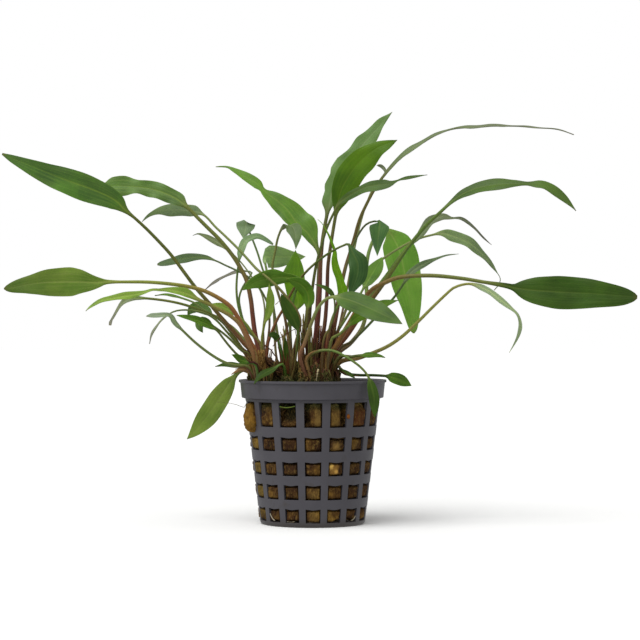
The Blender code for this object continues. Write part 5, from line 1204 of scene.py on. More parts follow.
# Leaves of the left crown
grow_leaf("leaf_left_long_dark", LEFT_CROWN, dark_leaf, ("#8a5a3a", "#5f6a26", 0.4), depth=(-4.5, -14, -20),
    face=(10, 14), keel=10, wave=(0.35, 16), shade=1.43, tinge=("#353059", 0.08, 0.18),
    stalk=((-20.6, 57.4), (-22.6, 59.9), (-25, 62.8), (-28.5, 66.8), (-31.5, 70.2), (-34.5, 73.8),
        (-39.5, 79.5), (-44, 85.5), (-48, 90.8), (-52, 95.2), (-56, 99.3), (-60, 103)),
    blade=((-63.7, 106.1), (-66.1, 108.6), (-69.5, 110.7), (-75.2, 113.1), (-81.1, 115.2), (-86.9, 117.4),
        (-92.7, 119.8), (-97.6, 121.8), (-101.8, 123.5), (-105.2, 125)),
    edges=((0, 0.6, 0.6), (0.076, 1.4, 1.4), (0.161, 3.1, 2.5), (0.299, 4.4, 3.8), (0.434, 4.9, 4.3),
        (0.57, 4.6, 3.9), (0.706, 3.6, 2.8), (0.824, 2.7, 1.9), (0.922, 1.6, 1.2), (1, 0.3, 0.3)))
grow_leaf("leaf_left_wavy", LEFT_CROWN, green_leaf, ("#7a4036", "#6f7a34", 0.55), depth=(-1.6, 1, 5),
    face=(14, 14), keel=8, girth=(1.8, 1.2), wave=(0.5, 8), shade=1.4, tinge=("#593063", 0.16, 0.16),
    stalk=((-18.3, 58.6), (-19.1, 62), (-19.8, 66), (-20.4, 71), (-21, 76), (-22.4, 82.2), (-24.3, 86),
        (-27, 90.4), (-31.4, 95.8), (-34.8, 99.2), (-39.2, 103.6), (-41.5, 106)),
    blade=((-43.6, 107.8), (-46.5, 110), (-50, 111.6), (-54, 112.9), (-58, 113.6), (-62, 113.9),
        (-66, 114.1), (-71.7, 113.8)),
    edges=((0, 0.8, 0.8), (0.05, 1.2, 1.4), (0.14, 2.2, 2.5), (0.29, 2.75, 2.6), (0.43, 3, 3),
        (0.59, 2.4, 2.5), (0.76, 3.4, 3.5), (0.87, 3, 3.4), (1, 0, 0)))
grow_leaf("leaf_left_big_light", LEFT_CROWN, light_leaf, ("#a5683c", "#94a044", 0.6),
    depth=(-8.6, -28, -40), face=(8, 12), keel=8, girth=(1.8, 1), wave=(0.3, 16), shade=0.95,
    tinge=("#2a4008", 0, 0.5),
    stalk=((-19.4, 57.8), (-20.6, 60.2), (-22.4, 63.8), (-24.3, 67.6), (-26.2, 71), (-28.4, 73.8),
        (-33, 76.8), (-38, 79), (-45, 80.5), (-55, 81.5), (-65, 81.6)),
    blade=((-69.9, 81.6), (-74.4, 81.4), (-79.4, 81.6), (-85.2, 81.6), (-91, 81.4), (-96.8, 80.7),
        (-100.9, 79.8), (-104.6, 79.3)),
    edges=((0, 0.6, 0.6), (0.1, 0.65, 0.65), (0.131, 0.8, 0.8), (0.177, 1.5, 1.4), (0.275, 3, 2.9),
        (0.353, 3.9, 4.1), (0.442, 4.75, 4.8), (0.609, 4.6, 4.3), (0.778, 3.5, 2.8), (0.9, 2, 2.1),
        (0.97, 1.1, 1.1), (1, 0.2, 0.2)))
grow_leaf("leaf_left_narrow_light", LEFT_CROWN, light_leaf, ("#a5744a", "#8c8a40", 0.7),
    depth=(-10.2, -25, -38), face=(30, 30), keel=14, girth=(1.7, 1.1), shade=1.1,
    stalk=((-19.8, 56.4), (-21.4, 60), (-23, 64), (-25, 67.6), (-28, 70.2), (-31, 71.9), (-33.5, 73.2),
        (-36.4, 74.6)),
    blade=((-39.3, 75.9), (-42, 77.3), (-45.6, 78.4), (-49.2, 79), (-51.9, 78.9), (-54.4, 78.9),
        (-57.5, 77.95), (-61.1, 77.15), (-64.7, 76.65), (-68.3, 76.05), (-71.9, 75.15), (-75.5, 72.95),
        (-76.9, 71.7)),
    edges=((0, 0.6, 0.6), (0.076, 0.9, 0.9), (0.172, 1.3, 1.8), (0.264, 1.15, 1.3), (0.332, 0.7, 0.6),
        (0.395, 0.3, 0.3), (0.47, 0.6, 0.5), (0.563, 0.9, 1.1), (0.655, 1.35, 1.35), (0.748, 1.1, 1.1),
        (0.842, 0.75, 0.8), (0.949, 0.4, 0.4), (1, 0, 0)))
grow_leaf("leaf_left_drooping_tip", LEFT_CROWN, green_leaf, ("#7a6a35", "#68782c", 0.3),
    depth=(-0.2, -10, -14), face=(20, 20), keel=16, girth=(1.1, 0.8), shade=1.23,
    tinge=("#918b84", 0.35, 0.85),
    stalk=((-21.6, 55.6), (-24.3, 59.6), (-27.3, 64), (-30.5, 68), (-34.5, 70.7), (-40, 72.8), (-45, 74.3),
        (-50, 75.3), (-56, 76)),
    blade=((-60.1, 76.1), (-62.8, 75.6), (-64.8, 74.1), (-66.2, 72.1), (-67.3, 70.1), (-68.3, 68.3),
        (-68.6, 66.9)),
    edges=((0, 0.45, 0.45), (0.204, 0.6, 0.6), (0.39, 1.1, 1.1), (0.572, 0.7, 0.7), (0.742, 0.45, 0.45),
        (0.896, 0.35, 0.35), (0.95, 0.55, 0.55), (1, 0.45, 0.45)))
grow_leaf("leaf_left_thin_dark", LEFT_CROWN, green_leaf, ("#7a6a38", "#667a38", 0.4), depth=(1.6, 3, 7),
    width=1.4, face=(62, 66), keel=16, girth=(1, 0.7),
    stalk=((-21.4, 58.8), (-23.8, 61.9), (-27.8, 66.6), (-31.3, 69.3), (-35, 70.9), (-37.5, 72.6),
        (-40.4, 74.7)),
    blade=((-43.5, 75.9), (-47, 76.8), (-50.5, 77.3), (-53.5, 77)))
grow_leaf("leaf_left_stub", LEFT_CROWN, green_leaf, ("#7a6a38", "#6f823c", 0.4), depth=(2.9, 12, 22),
    width=4.2, face=(25, 20), keel=8, girth=(1, 0.8), widest=0.45, wedge=0.8,
    stalk=((-20.9, 59.6), (-23.6, 62.6), (-26.8, 66), (-30.6, 68.5), (-33.6, 69.9)),
    blade=((-36.5, 72), (-39, 73.1), (-41, 72.3), (-42.4, 70.2)))
grow_leaf("leaf_left_grey", LEFT_CROWN, grey_leaf, ("#7a7f45", "#7d9450", 0.3), depth=(-9.5, -22, -34),
    face=(20, 20), keel=14, girth=(1.1, 0.8), shade=1.45, tinge=("#949f92", 0.7, 0.8),
    stalk=((-21.6, 52.6), (-25.5, 53.2), (-29.2, 54.1), (-32.2, 55.6), (-36, 58.1), (-40, 61.3),
        (-44, 65.1)),
    blade=((-46.5, 67.8), (-47.6, 69.6), (-48.8, 70.3), (-50.8, 70.4), (-52.8, 70.3), (-54.6, 70.2),
        (-56.3, 70)),
    edges=((0, 0.5, 0.5), (0.21, 0.9, 0.6), (0.326, 1, 0.7), (0.512, 0.5, 0.75), (0.698, 0.9, 0.85),
        (0.864, 0.75, 0.8), (1, 0.15, 0.15)))
grow_leaf("leaf_left_hook", LEFT_CROWN, grey_leaf, ("#7a6a3a", "#6f8440", 0.3), depth=(-3.2, -16, -24),
    width=1, face=(50, 40), keel=16, girth=(1, 0.55), tinge=("#918b84", 0.55, 0.8),
    stalk=((-22.2, 56.9), (-25.4, 60.6), (-29, 64.6), (-32.4, 68.4), (-36, 70.8), (-40, 71.8), (-44, 72.1),
        (-47.4, 71.4)),
    blade=((-50.6, 69.2), (-52.8, 66.7), (-54.4, 64), (-55.3, 60.6)))
grow_leaf("leaf_left_low_dark", LEFT_CROWN, dark_leaf, ("#80703c", "#667a38", 0.4), depth=(-7.2, -16, -30),
    width=3.4, face=(48, 52), keel=14, girth=(0.9, 0.7), widest=0.4, wedge=0.7, shade=1.45,
    stalk=((-21.9, 54.9), (-25.3, 56.8), (-28, 59.6), (-30.4, 62.6), (-32.3, 65)),
    blade=((-35.5, 67), (-39, 68.4), (-42.5, 69.5), (-46, 70.3)))
grow_leaf("leaf_left_low_hanging", LEFT_CROWN, dark_leaf, ("#80703c", "#667a38", 0.4),
    depth=(-5.6, -12.5, -22), width=3.2, face=(20, 10), keel=8, girth=(0.9, 0.7), widest=0.45, wedge=0.8,
    stalk=((-21.4, 56.6), (-23.8, 58.1), (-26, 60.2), (-28.2, 62.4), (-30.8, 64.6), (-33.6, 66.6)),
    blade=((-36, 68), (-37.8, 68.2), (-38.2, 66.6), (-37.2, 64.4)))
grow_leaf("leaf_left_inner_bright", LEFT_CROWN, light_leaf, ("#a5705a", "#8aa040", 0.6),
    depth=(-4.2, -9, -13), width=3, face=(48, 40), girth=(1.1, 0.8), wedge=0.9, shade=0.95,
    stalk=((-17.4, 59.3), (-20, 63.6), (-22.4, 67.2), (-25.2, 69.9)),
    blade=((-27.4, 71.4), (-29.4, 72.5), (-31.5, 73.4), (-34.4, 74.2)))
grow_leaf("leaf_left_over_rim", LEFT_CROWN, light_leaf, ("#8a7a4a", "#8aa545", 0.4), depth=(-1, 3.5, 10),
    width=7.6, face=(14, 18), keel=8, girth=(1.7, 1.4), widest=0.5, wedge=0.8, shade=0.79,
    stalk=((-21.2, 51.3), (-23.2, 51.9), (-25.2, 50.9)),
    blade=((-28.4, 46.9), (-32, 41.4), (-36, 35.6), (-40, 30.9), (-42.6, 28.3)))
grow_leaf("leaf_left_rim_dark", LEFT_CROWN, dark_leaf, ("#5f6a2e", "#4f7a2c", 0.4), depth=(0.9, 0.6, -6),
    width=2.8, face=(55, 58), girth=(1.2, 1), widest=0.4, wedge=0.7,
    stalk=((-20.7, 53.2), (-22.6, 53.4)),
    blade=((-25, 53.3), (-27.6, 53.4), (-30.2, 53.3), (-33, 53)))
grow_leaf("leaf_left_rim_short", LEFT_CROWN, dark_leaf, ("#5f6a2e", "#4f7a2c", 0.4),
    depth=(-13.4, -16, -22), width=2.6, face=(40, 36), girth=(1.1, 0.9), widest=0.4, wedge=0.7, shade=1.09,
    stalk=((-19.2, 53.4), (-21.6, 54.2)),
    blade=((-23.8, 54.9), (-25.4, 55.8), (-27.4, 57)))
grow_leaf("leaf_left_arched_grey", LEFT_CROWN, grey_leaf, ("#6f7a3a", "#5f7f3a", 0.3), depth=(5.2, 17, 30),
    width=2.4, face=(66, 66), keel=16, girth=(0.9, 0.65), tinge=("#8a7a80", 0.75, 0.8),
    stalk=((-19.2, 61), (-21.4, 64.4), (-23.3, 68), (-24.4, 72), (-24.9, 76), (-23.8, 79.6), (-21.6, 83),
        (-20.6, 84.7)),
    blade=((-22.6, 85.3), (-26, 84.8), (-30, 83.3), (-34, 80.9), (-36.8, 78.7)))
grow_leaf("leaf_left_folded_tall", LEFT_CROWN, grey_leaf, ("#6f6a3a", "#5f7f3a", 0.35), depth=(0.2, 4, 8),
    face=(20, 20), keel=10, girth=(1, 0.7), shade=1.12, tinge=("#7f9a84", 0.4, 0.5),
    stalk=((-18.9, 61.3), (-21.4, 65), (-24, 69.6), (-25.3, 74), (-25.8, 79), (-25.6, 83.5), (-25, 88.4)),
    blade=((-24, 92.6), (-22.8, 95.4), (-20.9, 96.5), (-18.6, 97.1), (-16, 96), (-13.4, 94.3)),
    edges=((0, 0.5, 0.5), (0.15, 1.3, 1), (0.32, 1.5, 1.3), (0.5, 1.2, 1), (0.72, 1, 0.9), (0.9, 0.7, 0.7),
        (1, 0.3, 0.3)))
grow_leaf("leaf_left_thread", LEFT_CROWN, grey_leaf, ("#6b5a3a", "#7f8a50", 0.4), depth=(3.6, 26, 34),
    face=(30, 30), keel=14, girth=(0.8, 0.45), shade=0.76, tinge=("#6c7040", 0.6, 0.5),
    stalk=((-16.6, 60.4), (-16.7, 66), (-16.2, 72), (-17.4, 78), (-20.2, 82.6), (-22.5, 86), (-24.6, 88.6),
        (-27, 91), (-29.5, 92.7)),
    blade=((-31.8, 94.5), (-34.5, 96.1), (-37.2, 97.4), (-39, 97.9), (-40.6, 97.3)),
    edges=((0, 0.4, 0.4), (0.25, 1.2, 1.2), (0.5, 1, 1), (0.75, 0.55, 0.55), (1, 0, 0)))
grow_leaf("leaf_left_dark_arrow", LEFT_CROWN, green_leaf, ("#6b4a36", "#4f6e34", 0.5), depth=(1.6, 14, 18),
    face=(34, 36), keel=14, girth=(0.9, 0.6), shade=1.15, tinge=("#64755f", 0.45, 0.5),
    stalk=((-15.6, 59.4), (-15, 63), (-14.6, 68), (-15.2, 74), (-18.2, 79.8), (-22, 83.4), (-26, 85.6),
        (-29.5, 87.2), (-32.4, 88.6)),
    blade=((-36, 89.75), (-40, 89.95), (-44, 89.35), (-48.2, 88.35), (-52.6, 87.5)),
    edges=((0, 0.4, 0.4), (0.15, 0.8, 0.8), (0.35, 1.5, 1.5), (0.55, 1.9, 1.8), (0.8, 1.6, 1.5),
        (0.95, 0.9, 0.9), (1, 0.3, 0.3)))
grow_leaf("leaf_left_upright", LEFT_CROWN, light_leaf, ("#9a7a4a", "#8a9440", 0.5), depth=(-6, -11, -17),
    width=3, face=(20, 30), keel=10, girth=(1, 0.8), widest=0.45, wedge=0.9, shade=1.05,
    stalk=((-17.2, 61.2), (-16.9, 64), (-16.3, 67.4)),
    blade=((-15, 70.6), (-14.3, 74), (-14.3, 77.4), (-14.8, 81)))
# Leaves of the middle crown, and one of the left that comes forward
grow_leaf("leaf_middle_hanging_triangle", MIDDLE_CROWN, grey_leaf, ("#7a6a40", "#5a7a3a", 0.4),
    depth=(3.4, 24, 18), face=HANGING, keel=6, girth=(0.9, 0.65), flatten=0.05, shade=0.83,
    tinge=("#7c9482", 0.4, 0.4),
    stalk=((-11.3, 51.4), (-12.4, 57), (-12.9, 64), (-13.2, 72), (-14.3, 79), (-16.8, 85.5), (-18.5, 91),
        (-20.2, 95.6), (-21.6, 99.2), (-22.3, 101.5)),
    blade=((-22.5, 102.1), (-22.6, 101.4), (-22.9, 99.4), (-23.5, 96.3)),
    edges=((0, 0.5, 0.5), (0.06, 0.6, 0.6), (0.16, 3.3, 3.4), (0.3, 3.2, 3.3), (0.6, 1.9, 2.1),
        (0.85, 0.7, 0.8), (1, 0, 0)))
grow_leaf("leaf_middle_long_green", MIDDLE_CROWN, grey_leaf, ("#7a6a3c", "#76883e", 0.5),
    depth=(-6.6, -12, 4, 14), face=(36, 40), keel=8, girth=(1.1, 0.75), shade=0.69,
    stalk=((-7.4, 53), (-6, 60), (-4.2, 67), (-5.2, 71.5), (-8.6, 76.1), (-11, 79), (-14, 81.9),
        (-17, 84.4), (-19, 86), (-22, 89.3), (-25, 92.6), (-30, 97.5), (-33, 100.3), (-36, 103.6)),
    blade=((-38.4, 105), (-41, 105.5), (-44, 105.8), (-47.2, 105.9), (-51.7, 105.7), (-55.3, 104.3),
        (-57.8, 102)),
    edges=((0, 0.45, 0.45), (0.12, 1.4, 1.4), (0.23, 2.5, 2.6), (0.49, 2.8, 2.8), (0.69, 1.8, 1.8),
        (0.86, 0.75, 0.75), (1, 0, 0)))
grow_leaf("leaf_middle_broad", MIDDLE_CROWN, grey_leaf, ("#8a6a4a", "#6f8f3c", 0.4), depth=(4.2, 22, 34),
    face=(10, 10), keel=6, girth=(1, 0.8), flatten=0.02, shade=1.42, tinge=("#8aa082", 0.5, 0.1),
    stalk=((-9.9, 52.6), (-11, 58), (-12.2, 66), (-13.6, 75), (-15.2, 83.5), (-16, 87.6)),
    blade=((-16.4, 89.4), (-16.1, 90), (-15.3, 90.15), (-12, 90.2), (-8, 90.2), (-2.4, 90.2)),
    edges=((0, 0.5, 0.5), (0.15, 0.6, 0.6), (0.2, 3.9, 3.9), (0.3, 4, 4), (0.41, 3.7, 3.9),
        (0.65, 2.3, 2.9), (0.88, 0.9, 1.3), (1, 0, 0)))
grow_leaf("leaf_middle_olive", MIDDLE_CROWN, bright_leaf, ("#8a6a4a", "#7a9a35", 0.6), depth=(0.6, 2, 6),
    face=(12, 14), keel=8, girth=(1.1, 0.9), shade=1.06,
    stalk=((-8.9, 53.3), (-9.6, 58), (-9.6, 63), (-8, 68), (-6, 71.4)),
    blade=((-4.9, 74.5), (-5.5, 78.7), (-6, 82.8), (-6, 87), (-5.8, 92.4)),
    edges=((0, 0.6, 0.6), (0.12, 2, 2), (0.235, 3.2, 3.1), (0.47, 3.8, 3.6), (0.63, 4.2, 3.3),
        (0.68, 3.7, 3.1), (0.82, 2.1, 2.1), (1, 0, 0)))
grow_leaf("leaf_middle_hanging_grey", MIDDLE_CROWN, grey_leaf, ("#7a5a40", "#76803f", 0.6),
    depth=(-2.2, 1, -10), face=HANGING, keel=8, girth=(1.1, 0.75), shade=0.62,
    stalk=((-7.7, 52.8), (-7.9, 58), (-8.5, 64), (-9.6, 70.5), (-11.3, 76.5), (-13, 82), (-13.6, 87),
        (-12.7, 92), (-11.9, 96), (-11, 98.6)),
    blade=((-10.2, 99.8), (-8.6, 100.7), (-6.9, 100.3), (-6.1, 98.5), (-5.8, 96), (-5.7, 92.6)),
    edges=((0, 0.4, 0.4), (0.15, 1, 1), (0.3, 1.9, 2.2), (0.42, 2.6, 2.6), (0.6, 2.2, 1.8), (0.8, 1.2, 0.7),
        (1, 0, 0)))
grow_leaf("leaf_middle_forward", LEFT_CROWN, blue_leaf, ("#7a4628", "#5a6e2e", 0.6),
    depth=(-8.6, -4.4, -4.2, -15.5, -21), face=(8, 8), keel=8, girth=(1.1, 0.7), shade=0.63,
    stalk=((-15.4, 59), (-14.6, 62.6), (-13.3, 66), (-11.6, 69.6), (-9.6, 73), (-7.9, 76.6), (-5.9, 80),
        (-3.6, 83.4), (-0.6, 86.6), (3.8, 90.2), (7.6, 92.6), (10.6, 94)),
    blade=((12.2, 94.3), (13.6, 91.5), (15.2, 88), (15.1, 84), (13.7, 80), (12.3, 76.4)),
    edges=((0, 0.5, 0.5), (0.08, 0.5, 0.5), (0.235, 1.7, 1.4), (0.42, 3.4, 3), (0.61, 3.3, 2.8),
        (0.815, 1.7, 1.7), (1, 0, 0)))
grow_leaf("leaf_middle_dark_spread", MIDDLE_CROWN, green_leaf, ("#7a5a40", "#4f7a2c", 0.5),
    depth=(-5.6, -7, -8), face=(20, 22), keel=8, girth=(1.1, 0.8), shade=1.45,
    stalk=((-7, 52.2), (-7.3, 59), (-7.6, 66), (-7, 73), (-5.6, 79), (-4.4, 81.8)),
    blade=((-4.9, 82.8), (-9.8, 83.2), (-14, 82.8), (-18.1, 82), (-21, 80.7), (-23.7, 78.8)),
    edges=((0, 0.6, 0.6), (0.12, 1.2, 1), (0.254, 1.9, 1.5), (0.465, 2.6, 3.2), (0.58, 2.8, 3.1),
        (0.681, 2.8, 2.7), (0.84, 1.6, 1.8), (1, 0.1, 0.1)))
grow_leaf("leaf_middle_small_dark", MIDDLE_CROWN, dark_leaf, ("#5f6a2e", "#4f7a2c", 0.4),
    depth=(-7.1, -9.2, -12), width=1.6, face=(20, 30), keel=10, girth=(0.9, 0.8), widest=0.45, wedge=0.9,
    shade=0.62,
    stalk=((-8.4, 51.9), (-8.6, 54.6)),
    blade=((-8.9, 57), (-9.2, 60), (-9.3, 63.3)))
grow_leaf("leaf_middle_foreshortened", MIDDLE_CROWN, dark_leaf, ("#5f6a2e", "#4f7a2c", 0.4),
    depth=(-5, -7.4, -8.2), face=(14, 14), keel=8, girth=(1, 0.8), shade=0.5,
    stalk=((-10.2, 51.6), (-10.4, 55.6), (-10.9, 59), (-11.6, 61.4)),
    blade=((-12, 62.4), (-12.7, 63.3), (-13.7, 63.6), (-14.9, 63.2)),
    edges=((0, 0.4, 0.4), (0.3, 1.1, 1.1), (0.6, 1.2, 1.1), (0.85, 0.7, 0.8), (1, 0, 0)))
grow_leaf("leaf_middle_leaning_dark", MIDDLE_CROWN, dark_leaf, ("#6a5a30", "#4f6a2c", 0.6),
    depth=(-7.6, -13.4, -16), width=4.2, face=(14, 14), keel=10, girth=(0.9, 0.7), widest=0.5, wedge=0.8,
    shade=0.62,
    stalk=((-6.2, 52.6), (-5.6, 57), (-5.2, 61), (-5, 64.4)),
    blade=((-5.4, 66.6), (-6.6, 69.2), (-8.2, 72), (-9.6, 74.8), (-10.6, 77.6)))
grow_leaf("leaf_middle_over_rim", MIDDLE_CROWN, dark_leaf, ("#5f6a2e", "#4f7a2c", 0.4),
    depth=(-7.2, -12, -19.4), width=3, face=(52, 40), girth=(1.1, 0.9), wedge=0.8, shade=0.6,
    stalk=((-9.4, 51.1), (-10, 53.6), (-11.4, 53.3)),
    blade=((-13.5, 52), (-16, 50.7), (-18, 49.2), (-19.9, 46.9)))
# Leaves of the central crown
grow_leaf("leaf_centre_dark_arch", CENTRAL_CROWN, dark_leaf, ("#6b3a30", "#6a6a35", 0.6),
    depth=(-6.6, -8, -11), width=5, face=(24, 20), keel=10, girth=(1.5, 1.2), widest=0.45, wedge=0.7,
    shade=1.45,
    stalk=((-3.6, 56.2), (-2.9, 62), (-2.2, 68), (-1.8, 72)),
    blade=((-1.3, 75.4), (-2, 78.6), (-4.6, 81.2), (-8.9, 82.6)))
grow_leaf("leaf_centre_big_folded", CENTRAL_CROWN, green_leaf, ("#6a302c", "#5f6a2c", 0.8),
    depth=(3.6, 16, 30), face=(10, 30), keel=10, girth=(1.7, 1.1), wave=(0.4, 14), shade=1.24,
    stalk=((0.6, 58.6), (1.2, 66), (1.6, 74), (2, 84), (2.1, 89)),
    blade=((1.7, 92.3), (-1.6, 98), (-5.25, 101.35), (-8.55, 105.85), (-12.05, 109.15), (-15.55, 111.65),
        (-17.35, 113.25), (-19.4, 115.3), (-22.9, 117.3), (-26.4, 119.4), (-29.1, 120.6), (-32.8, 120.6)),
    edges=((0, 0.6, 0.6), (0.06, 0.7, 0.9), (0.144, 1.6, 2.4), (0.251, 2.2, 5.4), (0.373, 3.5, 5),
        (0.477, 3.5, 3.2), (0.57, 2.4, 2), (0.618, 1.4, 1.1), (0.635, 1, 1), (0.66, 1.5, 1.5),
        (0.684, 1.8, 1.8), (0.771, 1.6, 1.8), (0.861, 1.1, 1.1), (0.924, 0.35, 0.35), (1, 0.1, 0.1)))
grow_leaf("leaf_centre_top_wavy", CENTRAL_CROWN, grey_leaf, ("#7a3d38", "#5f6a30", 0.8), depth=(-0.9, 2, 6),
    face=(12, 14), keel=8, girth=(1.9, 1.2), wave=(0.4, 8.5), tinge=("#6f9650", 0.7, 0.6),
    stalk=((0.4, 58.6), (1.2, 64), (1.9, 70), (2.4, 78), (2.7, 88), (3.4, 96), (4.6, 103)),
    blade=((5.7, 108.1), (6.6, 112.2), (8.8, 117.2), (11.3, 121.2), (14.3, 125.1), (17.4, 128.7),
        (20.6, 132.3), (23.8, 135.7), (27, 139.2)),
    edges=((0, 0.6, 0.6), (0.05, 2, 0.9), (0.109, 3.4, 1.8), (0.16, 2.6, 2.4), (0.2, 2.4, 2.6),
        (0.25, 3.3, 2.8), (0.33, 3, 3.1), (0.376, 3.8, 3.3), (0.45, 3.9, 3.4), (0.502, 3.2, 3.4),
        (0.56, 2.7, 3.3), (0.66, 3.1, 3.2), (0.74, 2.4, 2.9), (0.8, 2.2, 2.2), (0.875, 1.9, 1.1), (1, 0, 0)))
grow_leaf("leaf_centre_top_bright", CENTRAL_CROWN, bright_leaf, ("#6a3830", "#5f6a30", 0.8),
    depth=(-2.4, -6, -12), face=(12, 14), keel=8, girth=(1.5, 1.1), wave=(0.3, 12), shade=0.76,
    stalk=((2.6, 58), (3.4, 63), (4.3, 69), (4.9, 78), (5.2, 87), (6.3, 95), (7.6, 103)),
    blade=((8.6, 108.6), (9.7, 112.7), (11.8, 116.7), (14.7, 120.8), (18.1, 124.2), (21.7, 126.9),
        (25.3, 128.4), (28.7, 129.7)),
    edges=((0, 0.6, 0.6), (0.12, 1.8, 2.4), (0.29, 3.4, 4.4), (0.45, 4.5, 5), (0.61, 4, 4.9),
        (0.76, 2.6, 3.7), (0.89, 1.4, 2.2), (1, 0, 0)))
grow_leaf("leaf_centre_narrow", CENTRAL_CROWN, green_leaf, ("#5f3a2a", "#5f6e30", 0.5),
    depth=(1.2, -12, -20), face=(30, 30), girth=(1.3, 0.8), shade=0.62,
    stalk=((-1.3, 57.4), (-1.1, 66), (-0.7, 74), (0.3, 82), (1.5, 88.5), (4, 97.5), (5.5, 101.5),
        (7.2, 105)),
    blade=((8.8, 107.9), (11.3, 110), (14.9, 112.2), (18.5, 113.8), (22.2, 114.4), (25.8, 114.8),
        (28, 115.6), (30.1, 116.4), (32.6, 117), (35.7, 117.5), (38.9, 117.9)),
    edges=((0, 0.55, 0.55), (0.1, 1, 1), (0.231, 1.25, 1.5), (0.353, 1.4, 1.95), (0.467, 1.8, 2.4),
        (0.579, 1.8, 1.85), (0.653, 0.9, 1.15), (0.72, 0.35, 0.4), (0.8, 0.5, 0.7), (0.9, 0.35, 0.45),
        (1, 0, 0)))
grow_leaf("leaf_centre_high_arch", CENTRAL_CROWN, grey_leaf, ("#73402a", "#6f6a30", 0.7),
    depth=(3.4, 9, 12), face=(58, 60), keel=14, girth=(1.6, 1), shade=0.68, tinge=("#a6aa90", 0, 0.95),
    stalk=((5.3, 58.2), (7.2, 66), (8.8, 76), (11, 86), (12.5, 91), (14, 96), (15.8, 102.4), (18, 107.4),
        (21, 113.05)),
    blade=((23.8, 117.2), (28.4, 122.4), (33.4, 126.5), (36.8, 128.6), (40.4, 130.8), (44, 132.5),
        (47.8, 133.6), (52, 134), (56.9, 134.2), (60.5, 134.5), (65.3, 134.5), (70.1, 134.4), (75.6, 133.9),
        (81, 133.6), (84.6, 132.9), (88.5, 131.5)),
    edges=((0, 0.6, 0.6), (0.09, 1, 1), (0.17, 1.4, 1.2), (0.23, 1.6, 1.4), (0.29, 1.5, 1.3),
        (0.345, 0.9, 0.8), (0.408, 0.6, 0.6), (0.468, 0.6, 0.6), (0.535, 0.9, 1.2), (0.59, 1.3, 1.1),
        (0.66, 0.7, 0.7), (0.73, 0.5, 0.5), (0.81, 0.4, 0.4), (1, 0.1, 0.1)))
grow_leaf("leaf_centre_curl", CENTRAL_CROWN, grey_leaf, ("#7a5a40", "#7f9050", 0.5), depth=(8.4, 30, 36),
    width=1.8, face=(50, 50), keel=10, girth=(0.9, 0.6), widest=0.45, wedge=0.9,
    tinge=("#918b84", 0.5, 0.5),
    stalk=((6.5, 57.6), (8.9, 66), (11, 76), (12.9, 86), (14.6, 95), (16.6, 103), (18.4, 108.4),
        (20.6, 113.4), (24.4, 117.6)),
    blade=((24.6, 119.4), (23.4, 120.8), (21.7, 121.1)))
grow_leaf("leaf_centre_upright", CENTRAL_CROWN, bright_leaf, ("#8a4638", "#6d8a3a", 0.7),
    depth=(-4.2, -9, -12), face=(18, 30), keel=10, girth=(1.2, 0.8), wave=(0.2, 9), shade=1.45,
    stalk=((4.4, 57.6), (5.2, 63), (6.6, 69), (8.6, 73.6)),
    blade=((10, 76.6), (10.3, 78.4), (9.6, 80.9), (8.9, 83.8), (7.75, 87.1), (7.4, 89.4), (7.5, 92.1),
        (6.2, 95.8), (4.8, 98.7), (3.2, 101.4), (1.66, 102.8)),
    edges=((0, 0.8, 0.8), (0.064, 1.6, 1.6), (0.156, 1.75, 1.75), (0.26, 1.4, 1.4), (0.387, 1.5, 1.3),
        (0.47, 1.15, 1.15), (0.56, 0.9, 0.9), (0.7, 0.4, 0.4), (0.82, 0.25, 0.25), (1, 0, 0)))
grow_leaf("leaf_centre_folded_dark", CENTRAL_CROWN, blue_leaf, ("#7a4a38", "#5f6e3a", 0.6),
    depth=(1.4, 3, -12), face=HANGING, keel=8, girth=(1, 0.65), flatten=0.03, shade=0.99,
    stalk=((6.2, 58.8), (7.9, 68), (9.6, 78), (11.2, 86), (12.6, 90.6), (14, 94.6), (15.6, 97.8),
        (17.4, 100.4), (19, 101.6), (20.6, 102.1)),
    blade=((22.2, 102.3), (22.8, 101.7), (22.7, 100.8), (22.4, 98.6), (22.1, 95), (21.9, 90.4)),
    edges=((0, 0.5, 0.5), (0.15, 0.6, 0.6), (0.22, 3, 3.1), (0.27, 3.4, 3.4), (0.4, 2.9, 3),
        (0.67, 1.6, 1.8), (1, 0, 0)))
grow_leaf("leaf_centre_big_hanging", CENTRAL_CROWN, light_leaf, ("#7a5a3c", "#7a9a45", 0.4),
    depth=(6.4, 30, 22), face=(12, 10), keel=8, girth=(1.6, 1.2), wave=(0.4, 14), shade=1.11,
    tinge=("#6ba83c", 0.6, 0.5),
    stalk=((8, 56.4), (13, 61), (17, 66.6), (18.3, 74), (18.2, 82), (18.6, 89.6), (20.4, 95.4), (23, 98.9)),
    blade=((26, 98.2), (29.2, 92.6), (31.3, 84), (33, 75), (34.3, 64.2)),
    edges=((0, 0.8, 0.8), (0.08, 3.2, 3.2), (0.2, 5.2, 5.2), (0.36, 6.1, 6.1), (0.55, 5.4, 5.4),
        (0.75, 3.8, 3.8), (0.9, 2.2, 2.2), (0.97, 1.3, 1.3), (1, 0.3, 0.3)))
grow_leaf("leaf_centre_round", CENTRAL_CROWN, green_leaf, ("#7a5a3c", "#6f8f3c", 0.5),
    depth=(-1.3, -0.8, 10), width=5.6, face=(22, 30), keel=8, girth=(1, 0.8), widest=0.5, wedge=0.7,
    shade=1.45,
    stalk=((5.6, 60), (9.6, 66.6), (13.6, 73), (17, 79)),
    blade=((19, 82.4), (20.8, 85.4), (22.4, 88), (23.6, 90)))
